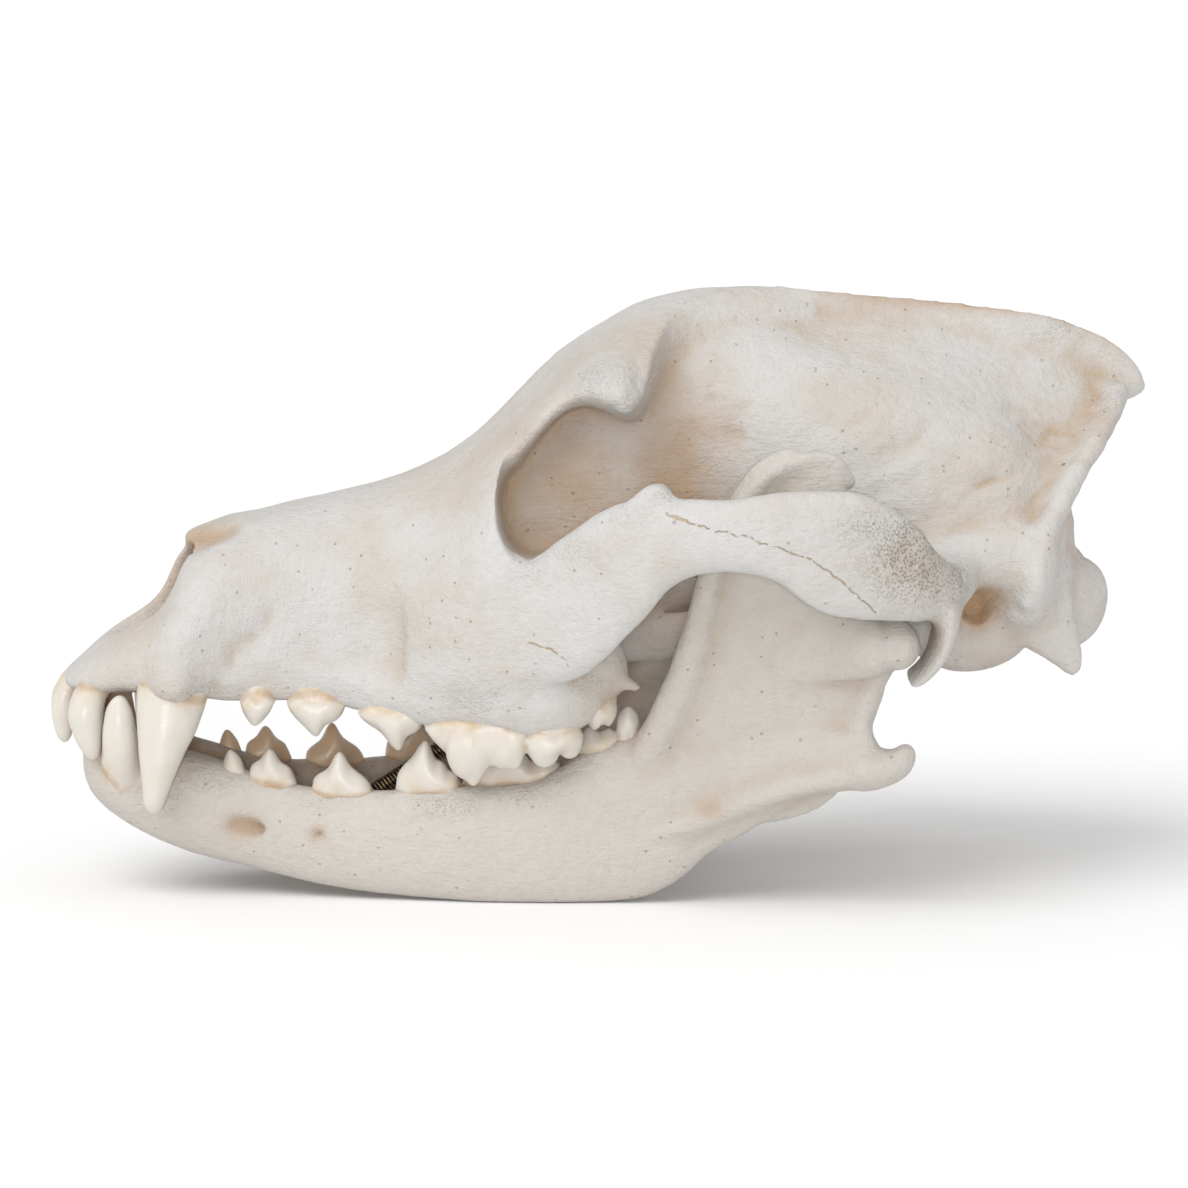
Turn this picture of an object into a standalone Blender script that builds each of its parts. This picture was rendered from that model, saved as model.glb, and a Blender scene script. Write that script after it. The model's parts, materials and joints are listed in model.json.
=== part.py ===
"""Life-size dog skull, jaws closed, resting on the lower edges of its two jaw bones.

The skull points along -X, its left side is at -Y, and Z is up from the table that it rests on.
Sizes are in millimetres and become metres when a mesh is made, where the level of the table
becomes zero, and so does the middle of the skull's length. The bone of the cranium is one clay
form: turned and lofted pieces are joined, hollowed, voxel remeshed, relaxed where they meet and
thinned out. Teeth are then joined to it, and thin cuts part it where a person names its parts.
"""

import math

import bpy
import numpy as np

MM = 0.001

# Driving dimensions
ARCH_HALF_WIDTH = 58.0
BRAINCASE_HALF_WIDTH = 31.0
MUZZLE_HALF_WIDTH = 20.5
CHEEK_HALF_WIDTH = 38.0
CUT = 0.3
BROW_SEAM = 34.0
NAPE_SEAM = 90.5
TABLE_LEVEL = 1.2
MIDDLE = 2.0
CRANIUM_VOXEL = 1.0
JAW_VOXEL = 0.9
CRANIUM_TRIANGLES = 5800
JAW_TRIANGLES = 1400

LEFT = -1
RIGHT = 1
SIDES = {"left": LEFT, "right": RIGHT}

BONE = (0.86, 0.83, 0.77, 1.0)
STEEL = (0.09, 0.085, 0.08, 1.0)


# Curves and surfaces

def through(stations, values, at):
    """Smooth curve through the values at their stations, with Catmull-Rom slopes."""
    x = np.asarray(stations, float)
    v = np.asarray(values, float).reshape(len(x), -1)
    slope = np.gradient(v, x, axis=0)
    i = np.clip(np.searchsorted(x, at) - 1, 0, len(x) - 2)
    h = (x[i + 1] - x[i])[:, None]
    t = ((at - x[i]) / (x[i + 1] - x[i]))[:, None]
    return (
        (2 * t**3 - 3 * t**2 + 1) * v[i]
        + (t**3 - 2 * t**2 + t) * h * slope[i]
        + (3 * t**2 - 2 * t**3) * v[i + 1]
        + (t**3 - t**2) * h * slope[i + 1]
    )


def power(value, exponent):
    """Signed power, which squares off or sharpens a circle's sine or cosine."""
    return np.sign(value) * np.abs(value) ** exponent


def loft(rings):
    """Closed surface (points, faces) over rings of points, with a fan at each end."""
    count, size = rings.shape[:2]
    points = np.vstack([rings.reshape(-1, 3), rings[0].mean(0), rings[-1].mean(0)])
    ring = np.arange(size)
    after = np.roll(ring, -1)
    rows = np.arange(count - 1)[:, None] * size
    walls = np.stack([rows + ring, rows + after, rows + size + after, rows + size + ring], -1)
    first = count * size
    start = np.stack([after, ring, np.full(size, first)], -1)
    last = (count - 1) * size
    end = np.stack([last + ring, last + after, np.full(size, first + 1)], -1)
    faces = walls.reshape(-1, 4).tolist() + start.tolist() + end.tolist()
    return points, faces


def outward(points, faces):
    """The same surface with its faces turned to point out."""
    volume = 0.0
    for face in faces:
        a, b = points[face[0]], points[face[1]]
        for k in range(2, len(face)):
            c = points[face[k]]
            volume += float(a @ np.cross(b, c))
            b = c
    return (points, faces) if volume > 0 else (points, [face[::-1] for face in faces])


def hull_along_x(rows, count=40, size=28):
    """Loft of upright sections. Each row is x, crown, floor, half width, widest level,
    top power and low power of the section's rounding, and its offset in y."""
    table = np.array([list(row) + [0.0] * (8 - len(row)) for row in rows], float)
    at = np.linspace(table[0, 0], table[-1, 0], count)
    crown, floor, half, widest, top, low, aside = through(table[:, 0], table[:, 1:], at).T
    turn = np.linspace(0, 2 * math.pi, size, endpoint=False)
    c, s = np.cos(turn), np.sin(turn)
    round_by = np.where(s > 0, 2 / top[:, None], 2 / low[:, None])
    reach = np.where(s > 0, (crown - widest)[:, None], (widest - floor)[:, None])
    y = aside[:, None] + half[:, None] * power(c[None], round_by)
    z = widest[:, None] + reach * power(s[None], round_by)
    x = np.broadcast_to(at[:, None], y.shape)
    return loft(np.stack([x, y, z], -1))


def limb(rows, up=(0, 0, 1), count=24, size=14, square=2.0, blunt=1.0):
    """Loft along a bent path. Each row is x, y, z, half width across and half height along up."""
    table = np.array(rows, float)
    steps = np.linalg.norm(np.diff(table[:, :3], axis=0), axis=1)
    run = np.concatenate([[0], np.cumsum(steps)])
    at = (1 - np.cos(np.linspace(0, math.pi, count))) / 2 * run[-1]
    values = through(run, table, at)
    path, wide, tall = values[:, :3], values[:, 3], values[:, 4]
    ahead = np.gradient(path, at, axis=0)
    ahead /= np.linalg.norm(ahead, axis=1)[:, None]
    side = np.cross(ahead, np.broadcast_to(np.asarray(up, float), ahead.shape))
    side /= np.linalg.norm(side, axis=1)[:, None]
    rise = np.cross(side, ahead)
    near = np.minimum(at, run[-1] - at) / (blunt * np.minimum(wide, tall))
    taper = np.sqrt(np.clip(1 - (1 - np.clip(near, 0, 1)) ** 2, 0.0025, 1))
    turn = np.linspace(0, 2 * math.pi, size, endpoint=False)
    c, s = power(np.cos(turn), 2 / square), power(np.sin(turn), 2 / square)
    rings = (
        path[:, None]
        + side[:, None] * (wide * taper)[:, None, None] * c[None, :, None]
        + rise[:, None] * (tall * taper)[:, None, None] * s[None, :, None]
    )
    return loft(rings)


def ball(centre, radii, lean=0.0, count=14, size=18):
    """Ellipsoid, leaned about the Y axis by so many degrees."""
    angle = np.linspace(0.06, math.pi - 0.06, count)
    turn = np.linspace(0, 2 * math.pi, size, endpoint=False)
    x = np.broadcast_to(np.cos(angle)[:, None], (count, size)) * radii[0]
    y = np.sin(angle)[:, None] * np.cos(turn) * radii[1]
    z = np.sin(angle)[:, None] * np.sin(turn) * radii[2]
    a = math.radians(lean)
    tilted = np.stack([x * math.cos(a) + z * math.sin(a), y, z * math.cos(a) - x * math.sin(a)], -1)
    return loft(tilted + np.asarray(centre, float))


def mirrored(surface, side):
    """The left-hand surface as it is, or flipped to the right."""
    points, faces = surface
    if side == LEFT:
        return surface
    return points * [1, -1, 1], [face[::-1] for face in faces]


def both(surface):
    return [mirrored(surface, side) for side in SIDES.values()]


# Blender objects

def material(name, colour, roughness, metallic=0.0):
    made = bpy.data.materials.get(name) or bpy.data.materials.new(name)
    made.use_nodes = True
    shader = made.node_tree.nodes["Principled BSDF"]
    shader.inputs["Base Color"].default_value = colour
    shader.inputs["Roughness"].default_value = roughness
    shader.inputs["Metallic"].default_value = metallic
    made.diffuse_color = colour
    return made


def mesh_object(name, surface, collection):
    points, faces = outward(*surface)
    mesh = bpy.data.meshes.new(name)
    mesh.from_pydata(((points - [MIDDLE, 0, TABLE_LEVEL]) * MM).tolist(), [], faces)
    made = bpy.data.objects.new(name, mesh)
    collection.objects.link(made)
    return made


def new_collection(name):
    made = bpy.data.collections.new(name)
    bpy.context.scene.collection.children.link(made)
    return made


def discard(collection):
    for one in list(collection.objects):
        bpy.data.objects.remove(one)
    bpy.data.collections.remove(collection)


def settle(target):
    """Applies the object's modifiers to its mesh."""
    graph = bpy.context.evaluated_depsgraph_get()
    made = bpy.data.meshes.new_from_object(target.evaluated_get(graph))
    target.modifiers.clear()
    old = target.data
    target.data = made
    bpy.data.meshes.remove(old)


def combine(target, surfaces, operation, solver="MANIFOLD"):
    """Joins the surfaces to the target, or cuts them out of it, in one Boolean."""
    pieces = new_collection("pieces")
    for number, surface in enumerate(surfaces):
        mesh_object(f"piece_{number}", surface, pieces)
    boolean = target.modifiers.new(operation.lower(), "BOOLEAN")
    boolean.operand_type = "COLLECTION"
    boolean.collection = pieces
    boolean.operation = operation
    boolean.solver = solver
    settle(target)
    discard(pieces)


def keep_largest(target):
    """Keeps only the largest closed surface, which drops scraps and sealed hollows."""
    mesh = target.data
    count = len(mesh.vertices)
    edges = np.empty(len(mesh.edges) * 2, np.int64)
    mesh.edges.foreach_get("vertices", edges)
    edges = edges.reshape(-1, 2)
    label = np.arange(count)
    while True:
        low = np.minimum(label[edges[:, 0]], label[edges[:, 1]])
        new = label.copy()
        np.minimum.at(new, edges[:, 0], low)
        np.minimum.at(new, edges[:, 1], low)
        new = new[new]
        if (new == label).all():
            break
        label = new
    points = np.empty(count * 3)
    mesh.vertices.foreach_get("co", points)
    points = points.reshape(-1, 3)
    names = np.unique(label)
    if len(names) == 1:
        return
    spread = {name: np.ptp(points[label == name], axis=0).prod() for name in names}
    kept = label == max(spread, key=spread.get)
    index = np.cumsum(kept) - 1
    faces = [
        [int(index[v]) for v in polygon.vertices]
        for polygon in mesh.polygons
        if kept[polygon.vertices[0]]
    ]
    made = bpy.data.meshes.new(target.name)
    made.from_pydata(points[kept].tolist(), [], faces)
    target.data = made
    bpy.data.meshes.remove(mesh)


def remesh(target, voxel):
    step = target.modifiers.new("voxels", "REMESH")
    step.mode = "VOXEL"
    step.voxel_size = voxel * MM
    settle(target)


def relax(target, passes, fill=0.6, wear=0.12):
    """Moves each point towards its neighbours: by fill where the surface is hollow, which
    rounds the creases where pieces meet, and only by wear on ridges and edges."""
    mesh = target.data
    count = len(mesh.vertices)
    edges = np.empty(len(mesh.edges) * 2, np.int64)
    mesh.edges.foreach_get("vertices", edges)
    a, b = edges.reshape(-1, 2).T
    degree = np.bincount(edges, minlength=count)
    points = np.empty(count * 3)
    mesh.vertices.foreach_get("co", points)
    points = points.reshape(-1, 3)
    for _ in range(passes):
        total = [
            np.bincount(a, points[b, k], count) + np.bincount(b, points[a, k], count)
            for k in range(3)
        ]
        pull = np.stack(total, -1) / degree[:, None] - points
        normal = np.empty(count * 3)
        mesh.vertex_normals.foreach_get("vector", normal)
        hollow = (pull * normal.reshape(-1, 3)).sum(1) > 0
        points += pull * np.where(hollow, fill, wear)[:, None]
        mesh.vertices.foreach_set("co", points.ravel())
        mesh.update()


def thin_out(target, triangles):
    now = sum(len(polygon.vertices) - 2 for polygon in target.data.polygons)
    step = target.modifiers.new("thinned", "DECIMATE")
    step.ratio = min(1.0, triangles / now)
    settle(target)


# Bone of the cranium

def muzzle():
    """Upper jaw and nose: low and round at the incisors, boxy along the nose, wide at the cheeks."""
    cheek = CHEEK_HALF_WIDTH
    nose = MUZZLE_HALF_WIDTH
    return hull_along_x(
        [
            (-111.5, 47.5, 45.0, 5.0, 46.0, 2.0, 2.2),
            (-109.5, 49.5, 44.5, 9.5, 46.5, 2.2, 2.6),
            (-105.0, 53.3, 44.0, 13.5, 47.5, 2.4, 3.0),
            (-101.0, 56.6, 44.0, 16.0, 49.0, 2.5, 3.2),
            (-97.0, 59.2, 44.5, 18.0, 50.0, 2.6, 3.2),
            (-92.5, 62.5, 44.0, 20.5, 52.0, 2.6, 3.6),
            (-88.0, 71.0, 43.0, 21.8, 54.0, 2.5, 4.0),
            (-82.0, 77.0, 42.3, 21.5, 56.0, 2.5, 4.4),
            (-74.0, 80.0, 42.3, nose, 57.0, 2.5, 4.4),
            (-56.0, 84.5, 41.8, nose, 57.0, 2.4, 4.4),
            (-46.0, 86.6, 40.2, 23.0, 57.0, 2.3, 4.2),
            (-38.0, 89.3, 38.8, 29.6, 58.0, 2.1, 4.0),
            (-30.0, 93.0, 38.2, 35.0, 60.0, 2.2, 3.8),
            (-22.0, 98.5, 37.2, cheek, 63.0, 2.6, 3.6),
            (-14.0, 105.0, 37.0, cheek + 1.0, 66.0, 3.0, 3.2),
            (-6.0, 110.0, 40.5, cheek, 70.0, 3.2, 2.4),
            (0.0, 113.0, 50.0, 32.0, 74.0, 3.2, 2.0),
            (5.0, 116.0, 60.0, 22.0, 80.0, 3.0, 2.0),
        ],
        count=66,
        size=40,
    )


def core():
    """Braincase behind, and before it the narrow wall between the two eye sockets."""
    wide = BRAINCASE_HALF_WIDTH
    return hull_along_x(
        [
            (-45.0, 84.0, 50.0, 15.0, 66.0, 2.2, 2.2),
            (-25.0, 94.0, 51.0, 17.0, 72.0, 2.3, 2.2),
            (-10.0, 106.0, 51.0, 17.0, 78.0, 2.4, 2.0),
            (5.0, 117.5, 53.0, 18.0, 84.0, 2.5, 1.9),
            (16.0, 124.0, 56.0, 19.0, 88.0, 2.3, 1.8),
            (26.0, 125.0, 57.5, 21.5, 88.0, 1.9, 1.8),
            (36.0, 122.5, 58.0, 25.5, 86.0, 1.85, 1.9),
            (48.0, 118.0, 57.0, 29.0, 85.0, 2.0, 2.0),
            (62.0, 115.0, 55.0, wide, 83.0, 2.0, 2.1),
            (76.0, 111.0, 53.0, wide, 80.0, 2.0, 2.2),
            (88.0, 105.0, 51.5, 29.5, 76.0, 2.1, 2.3),
            (96.0, 97.0, 51.5, 25.0, 72.0, 2.1, 2.3),
            (101.0, 84.0, 53.5, 16.0, 68.0, 2.1, 2.2),
        ],
        count=72,
        size=36,
    )


def forehead():
    """Frontal bone: a shield that widens to the two brow processes behind the eye sockets."""
    return hull_along_x(
        [
            (-26.0, 95.0, 86.0, 19.0, 89.0, 2.4, 2.0),
            (-18.0, 102.0, 90.0, 23.5, 96.0, 2.6, 2.0),
            (-10.0, 109.8, 98.0, 24.5, 103.5, 2.4, 2.0),
            (-4.0, 115.2, 102.0, 28.0, 107.0, 2.2, 2.0),
            (0.5, 118.7, 102.0, 32.0, 107.5, 2.0, 2.2),
            (4.0, 121.0, 101.0, 32.5, 107.5, 1.9, 2.2),
            (7.0, 123.0, 99.0, 28.0, 109.0, 1.9, 2.0),
            (10.5, 124.7, 98.0, 22.5, 113.0, 1.9, 1.6),
            (15.0, 126.2, 100.0, 15.5, 117.0, 1.9, 1.5),
            (20.0, 127.3, 103.0, 11.5, 119.0, 1.8, 1.5),
            (28.0, 128.0, 106.0, 9.0, 120.0, 1.7, 1.5),
            (36.0, 128.0, 110.0, 7.0, 121.0, 1.5, 1.5),
            (46.0, 126.5, 115.0, 4.0, 121.0, 1.5, 1.8),
        ],
        count=56,
        size=28,
    )


CREST_LINE = [
    (30.0, 125.5),
    (37.0, 127.8),
    (48.0, 127.0),
    (60.0, 126.0),
    (76.0, 124.0),
    (90.0, 122.0),
    (100.0, 120.0),
    (107.0, 117.0),
    (112.0, 112.8),
    (113.8, 107.5),
]


def sagittal_crest():
    """Keel along the top of the braincase: a thin plate on a flared foot."""
    foot = hull_along_x(
        [
            (30.0, 125.0, 112.0, 6.0, 116.0, 1.4, 2.0),
            (46.0, 124.0, 113.0, 8.0, 114.0, 1.1, 2.0),
            (60.0, 122.0, 110.0, 8.5, 111.0, 1.0, 2.0),
            (76.0, 119.5, 106.0, 8.5, 107.0, 1.0, 2.0),
            (90.0, 116.5, 100.0, 9.0, 101.0, 1.0, 2.0),
            (102.0, 113.5, 94.0, 9.0, 97.0, 1.1, 2.0),
            (109.0, 109.0, 96.0, 6.0, 100.0, 1.2, 2.0),
            (112.0, 106.0, 100.0, 4.0, 102.0, 1.6, 2.0),
        ],
        count=40,
        size=24,
    )
    plate = limb([(x, 0.0, z - 5.0, 1.7, 5.0) for x, z in CREST_LINE], count=34, size=12, square=2.6)
    return [foot, plate]


NUCHAL_EDGE = [
    (112.0, -3.5, 106.5),
    (109.0, -10.5, 101.0),
    (104.5, -17.5, 96.0),
    (99.5, -23.5, 90.0),
    (94.5, -29.0, 83.0),
    (90.5, -33.0, 76.0),
    (89.0, -34.5, 69.0),
    (88.5, -33.5, 62.0),
]


def nuchal_shield():
    """Back wall of the skull: level slices whose rim follows the nuchal crest."""
    edge = np.array(NUCHAL_EDGE[::-1])
    levels = np.linspace(54.0, 107.0, 28)
    x, y = through(edge[:, 2], edge[:, :2], np.clip(levels, edge[0, 2], edge[-1, 2])).T
    y = -y * np.clip((levels - 50) / 10, 0, 1) ** 0.5
    bulge = through([54.0, 62.0, 69.0, 76.0, 83.0, 96.0, 107.0], [4, 11, 13, 9, 6, 4.5, 1.5], levels)
    turn = np.linspace(0, 2 * math.pi, 32, endpoint=False)
    c, s = np.cos(turn), np.sin(turn)
    ring_x = x[:, None] + np.where(s > 0, bulge, 12.0) * s[None]
    ring_y = y[:, None] * power(c, 0.9)[None]
    ring_z = np.broadcast_to(levels[:, None], ring_x.shape)
    return loft(np.stack([ring_x, ring_y, ring_z], -1))


def nuchal_rim():
    radius = [2.6, 2.4, 2.3, 2.3, 2.5, 2.8, 3.2, 2.6]
    rows = [(*point, r, r) for point, r in zip(NUCHAL_EDGE, radius)]
    return limb(rows, count=26, size=10)


def zygomatic_arch():
    """Cheek arch from the upper jaw, out round the coronoid process and back to the ear."""
    out = -ARCH_HALF_WIDTH
    return limb(
        [
            (-24.0, -31.0, 60.0, 5.0, 10.0),
            (-13.0, -36.5, 62.0, 4.6, 13.0),
            (-3.0, out + 15.0, 71.0, 4.2, 12.5),
            (6.0, out + 9.5, 79.5, 4.0, 10.5),
            (15.0, out + 6.0, 82.0, 3.8, 8.2),
            (25.0, out + 3.7, 82.5, 3.6, 7.8),
            (35.0, out + 2.8, 82.2, 3.4, 9.8),
            (46.0, out + 3.2, 78.5, 3.4, 13.0),
            (56.0, out + 5.5, 74.5, 3.8, 11.2),
            (64.0, out + 9.5, 70.5, 5.0, 7.4),
            (68.0, -42.0, 69.0, 6.5, 5.4),
            (69.5, -35.0, 70.5, 8.0, 5.8),
            (70.0, -25.0, 74.0, 9.0, 7.0),
        ],
        count=46,
        size=16,
        square=2.3,
    )


def orbital_bump():
    """Low process on the arch that the ligament behind the eye held."""
    return limb(
        [(5.0, -48.0, 84.0, 6.0, 3.2), (8.5, -49.5, 89.5, 4.0, 2.8), (10.5, -50.5, 92.5, 2.8, 2.4)],
        up=(0, 1, 0),
    )


def canine_root():
    """Swelling over the root of the upper canine."""
    return limb(
        [
            (-90.0, -16.5, 47.0, 6.5, 6.5),
            (-88.0, -17.0, 55.0, 6.5, 6.0),
            (-82.0, -16.0, 63.0, 5.5, 5.5),
            (-74.0, -14.0, 69.0, 4.0, 4.0),
        ],
        up=(0, 1, 0),
    )


def tube(*rows, **shape):
    """Limb whose rows give a point and one radius."""
    return limb([(*row, row[-1]) for row in rows], **shape)


def ear_and_base():
    """Pieces under the left side of the braincase, from the jaw joint back to the neck joint."""
    bulla = ball((78.0, -19.0, 57.5), (14.0, 9.5, 10.0), lean=-6)
    ear_lip = tube((76.0, -22.0, 63.0, 6.6), (75.5, -31.5, 62.5, 6.0))
    mastoid = limb(
        [(90.0, -32.0, 74.0, 5.0, 4.0), (88.5, -32.0, 64.0, 4.0, 4.5), (86.5, -30.5, 56.5, 2.5, 3.0)],
        up=(0, 1, 0),
    )
    ear_roof = tube(
        (64.0, -36.0, 70.0, 4.0),
        (74.0, -34.0, 70.5, 3.4),
        (82.0, -34.0, 70.0, 3.6),
        (90.0, -34.0, 70.0, 3.2),
    )
    jugular = limb(
        [
            (92.0, -25.5, 68.0, 5.5, 6.0),
            (94.0, -26.5, 59.0, 3.4, 5.0),
            (96.8, -26.0, 51.0, 2.4, 3.6),
            (97.8, -25.5, 46.5, 1.9, 2.6),
        ],
        up=(1, 0, 0),
    )
    joint_hook = limb(
        [
            (69.0, -43.0, 68.0, 9.0, 3.4),
            (68.2, -43.0, 61.0, 8.0, 2.6),
            (65.8, -42.5, 54.5, 6.0, 2.2),
            (63.5, -42.0, 50.5, 4.0, 1.8),
        ],
        up=(1, 0, 0),
    )
    neck_joint = ball((100.0, -12.5, 61.0), (8.5, 7.5, 10.5), lean=18)
    palate_edge = limb(
        [
            (-8.0, -10.0, 53.0, 2.2, 5.0),
            (10.0, -10.5, 54.0, 1.9, 5.0),
            (24.0, -11.0, 56.0, 1.9, 5.0),
            (36.0, -11.5, 58.0, 1.9, 5.0),
            (40.0, -11.5, 54.0, 1.6, 3.5),
        ]
    )
    tooth_ledge = ball((-3.0, -28.0, 51.0), (7.5, 6.5, 8.5))
    nasal_tip = limb(
        [(-66.0, -4.5, 78.6, 4.5, 3.0), (-77.0, -5.0, 78.6, 4.2, 1.8), (-84.5, -5.0, 76.6, 3.2, 1.4)]
    )
    return [
        bulla, ear_lip, mastoid, ear_roof, jugular, joint_hook,
        neck_joint, palate_edge, tooth_ledge, nasal_tip,
    ]


def occipital_keel():
    return tube(
        (109.0, 0.0, 101.0, 3.2),
        (103.0, 0.0, 92.0, 3.5),
        (99.0, 0.0, 83.0, 4.0),
        (97.5, 0.0, 77.0, 5.5),
        (101.0, 0.0, 71.0, 6.0),
        up=(1, 0, 0),
    )


# Hollows of the cranium

def eye_socket():
    """Round hollow for the eye, and the lower front corner of its rim."""
    round_part = limb(
        [
            (0.5, -62.0, 93.0, 17.5, 17.5),
            (-5.0, -33.0, 92.5, 17.4, 17.4),
            (-9.0, -17.5, 89.5, 14.5, 15.5),
        ],
        count=30,
        size=24,
    )
    corner = limb(
        [
            (-9.0, -62.0, 88.0, 11.5, 11.5),
            (-13.2, -38.0, 85.0, 11.4, 11.0),
            (-11.0, -20.0, 82.0, 10.0, 12.0),
        ],
        count=30,
        size=24,
    )
    return [round_part, corner]


def nose_cavity():
    """Air way from the nose opening back, with the roof under the nasal bones."""
    return hull_along_x(
        [
            (-118.0, 74.0, 54.5, 9.0, 62.0, 2.4, 2.2),
            (-100.0, 74.0, 54.5, 9.5, 63.0, 2.4, 2.2),
            (-86.0, 74.5, 54.0, 11.5, 64.0, 2.4, 2.2),
            (-79.0, 73.5, 55.5, 10.0, 64.5, 2.4, 2.2),
            (-74.5, 69.0, 60.0, 5.0, 65.0, 2.4, 2.2),
        ],
        count=24,
        size=20,
    )


def brain_cavity():
    return hull_along_x(
        [
            (17.0, 106.0, 77.0, 8.0, 91.0, 2.0, 2.0),
            (26.0, 112.0, 66.0, 16.0, 88.0, 2.0, 2.0),
            (36.0, 115.0, 61.5, 22.3, 86.0, 2.0, 2.0),
            (48.0, 115.0, 59.8, 26.4, 85.0, 2.0, 2.1),
            (62.0, 112.5, 58.2, 28.5, 83.0, 2.0, 2.1),
            (74.0, 108.8, 57.4, 28.5, 80.0, 2.0, 2.1),
            (84.0, 104.0, 56.4, 27.2, 77.0, 2.0, 2.2),
            (91.0, 98.5, 55.4, 23.8, 73.0, 2.0, 2.2),
            (96.0, 87.0, 55.0, 18.0, 68.0, 2.1, 2.2),
            (99.5, 70.0, 54.0, 9.8, 62.0, 2.1, 2.2),
            (116.0, 69.0, 53.0, 10.0, 61.0, 2.1, 2.2),
        ],
        count=36,
        size=20,
    )


def cranium_hollows():
    palate = hull_along_x(
        [
            (-104.0, 46.0, 38.0, 5.0, 40.0, 2.0, 2.0),
            (-90.0, 48.0, 34.0, 11.0, 40.0, 2.2, 2.0),
            (-60.0, 48.0, 32.0, 14.8, 40.0, 2.6, 2.0),
            (-36.0, 46.5, 30.0, 19.0, 38.0, 2.6, 2.0),
            (-14.0, 45.5, 30.0, 21.0, 37.0, 2.2, 2.0),
            (6.0, 48.0, 30.0, 22.0, 38.0, 2.2, 2.0),
        ],
        count=24,
        size=20,
    )
    choana = hull_along_x(
        [
            (-16.0, 54.0, 51.0, 4.0, 52.5, 2.4, 2.4),
            (-4.0, 57.0, 49.5, 7.8, 52.5, 2.4, 2.4),
            (10.0, 58.5, 44.0, 8.4, 52.0, 2.4, 2.4),
            (40.0, 60.5, 44.0, 8.8, 52.0, 2.4, 2.4),
        ],
        count=16,
        size=16,
    )
    ear_canal = tube((75.5, -40.0, 62.5, 4.0), (74.5, -24.0, 62.0, 3.4), size=12, blunt=0.3)
    ear_chamber = ball((78.5, -19.0, 57.0), (11.0, 6.8, 7.2), lean=-6)
    nape = ball((107.0, -12.5, 84.0), (6.5, 7.5, 12.5), lean=-24)
    jaw_joint = tube((58.8, -66.0, 58.0, 6.2), (58.8, -27.0, 58.0, 6.2), size=16, blunt=0.2)
    face_hole = limb(
        [(-50.0, -25.0, 56.5, 1.6, 4.6), (-42.0, -24.4, 57.0, 1.8, 4.2), (-35.0, -23.0, 58.0, 1.6, 3.0)]
    )
    canine_notch = ball((-99.5, -15.0, 45.0), (4.4, 4.6, 4.6))
    cuts = [nose_cavity(), brain_cavity(), palate, choana]
    for surface in [ear_canal, ear_chamber, nape, jaw_joint, face_hole, canine_notch]:
        cuts += both(surface)
    return cuts


def cranium_clay(collection):
    """The whole cranium as one relaxed bone, before its teeth and cuts."""
    whole = mesh_object("cranium", muzzle(), collection)
    sockets = eye_socket()
    combine(whole, [one for socket in sockets for one in both(socket)], "DIFFERENCE")
    pieces = [core(), forehead(), *sagittal_crest(), nuchal_shield(), occipital_keel()]
    for surface in [zygomatic_arch(), orbital_bump(), canine_root(), nuchal_rim(), *ear_and_base()]:
        pieces += both(surface)
    combine(whole, pieces, "UNION")
    combine(whole, cranium_hollows(), "DIFFERENCE")
    remesh(whole, CRANIUM_VOXEL)
    keep_largest(whole)
    relax(whole, 22)
    thin_out(whole, CRANIUM_TRIANGLES)
    return whole


# Bone of a lower jaw

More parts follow.
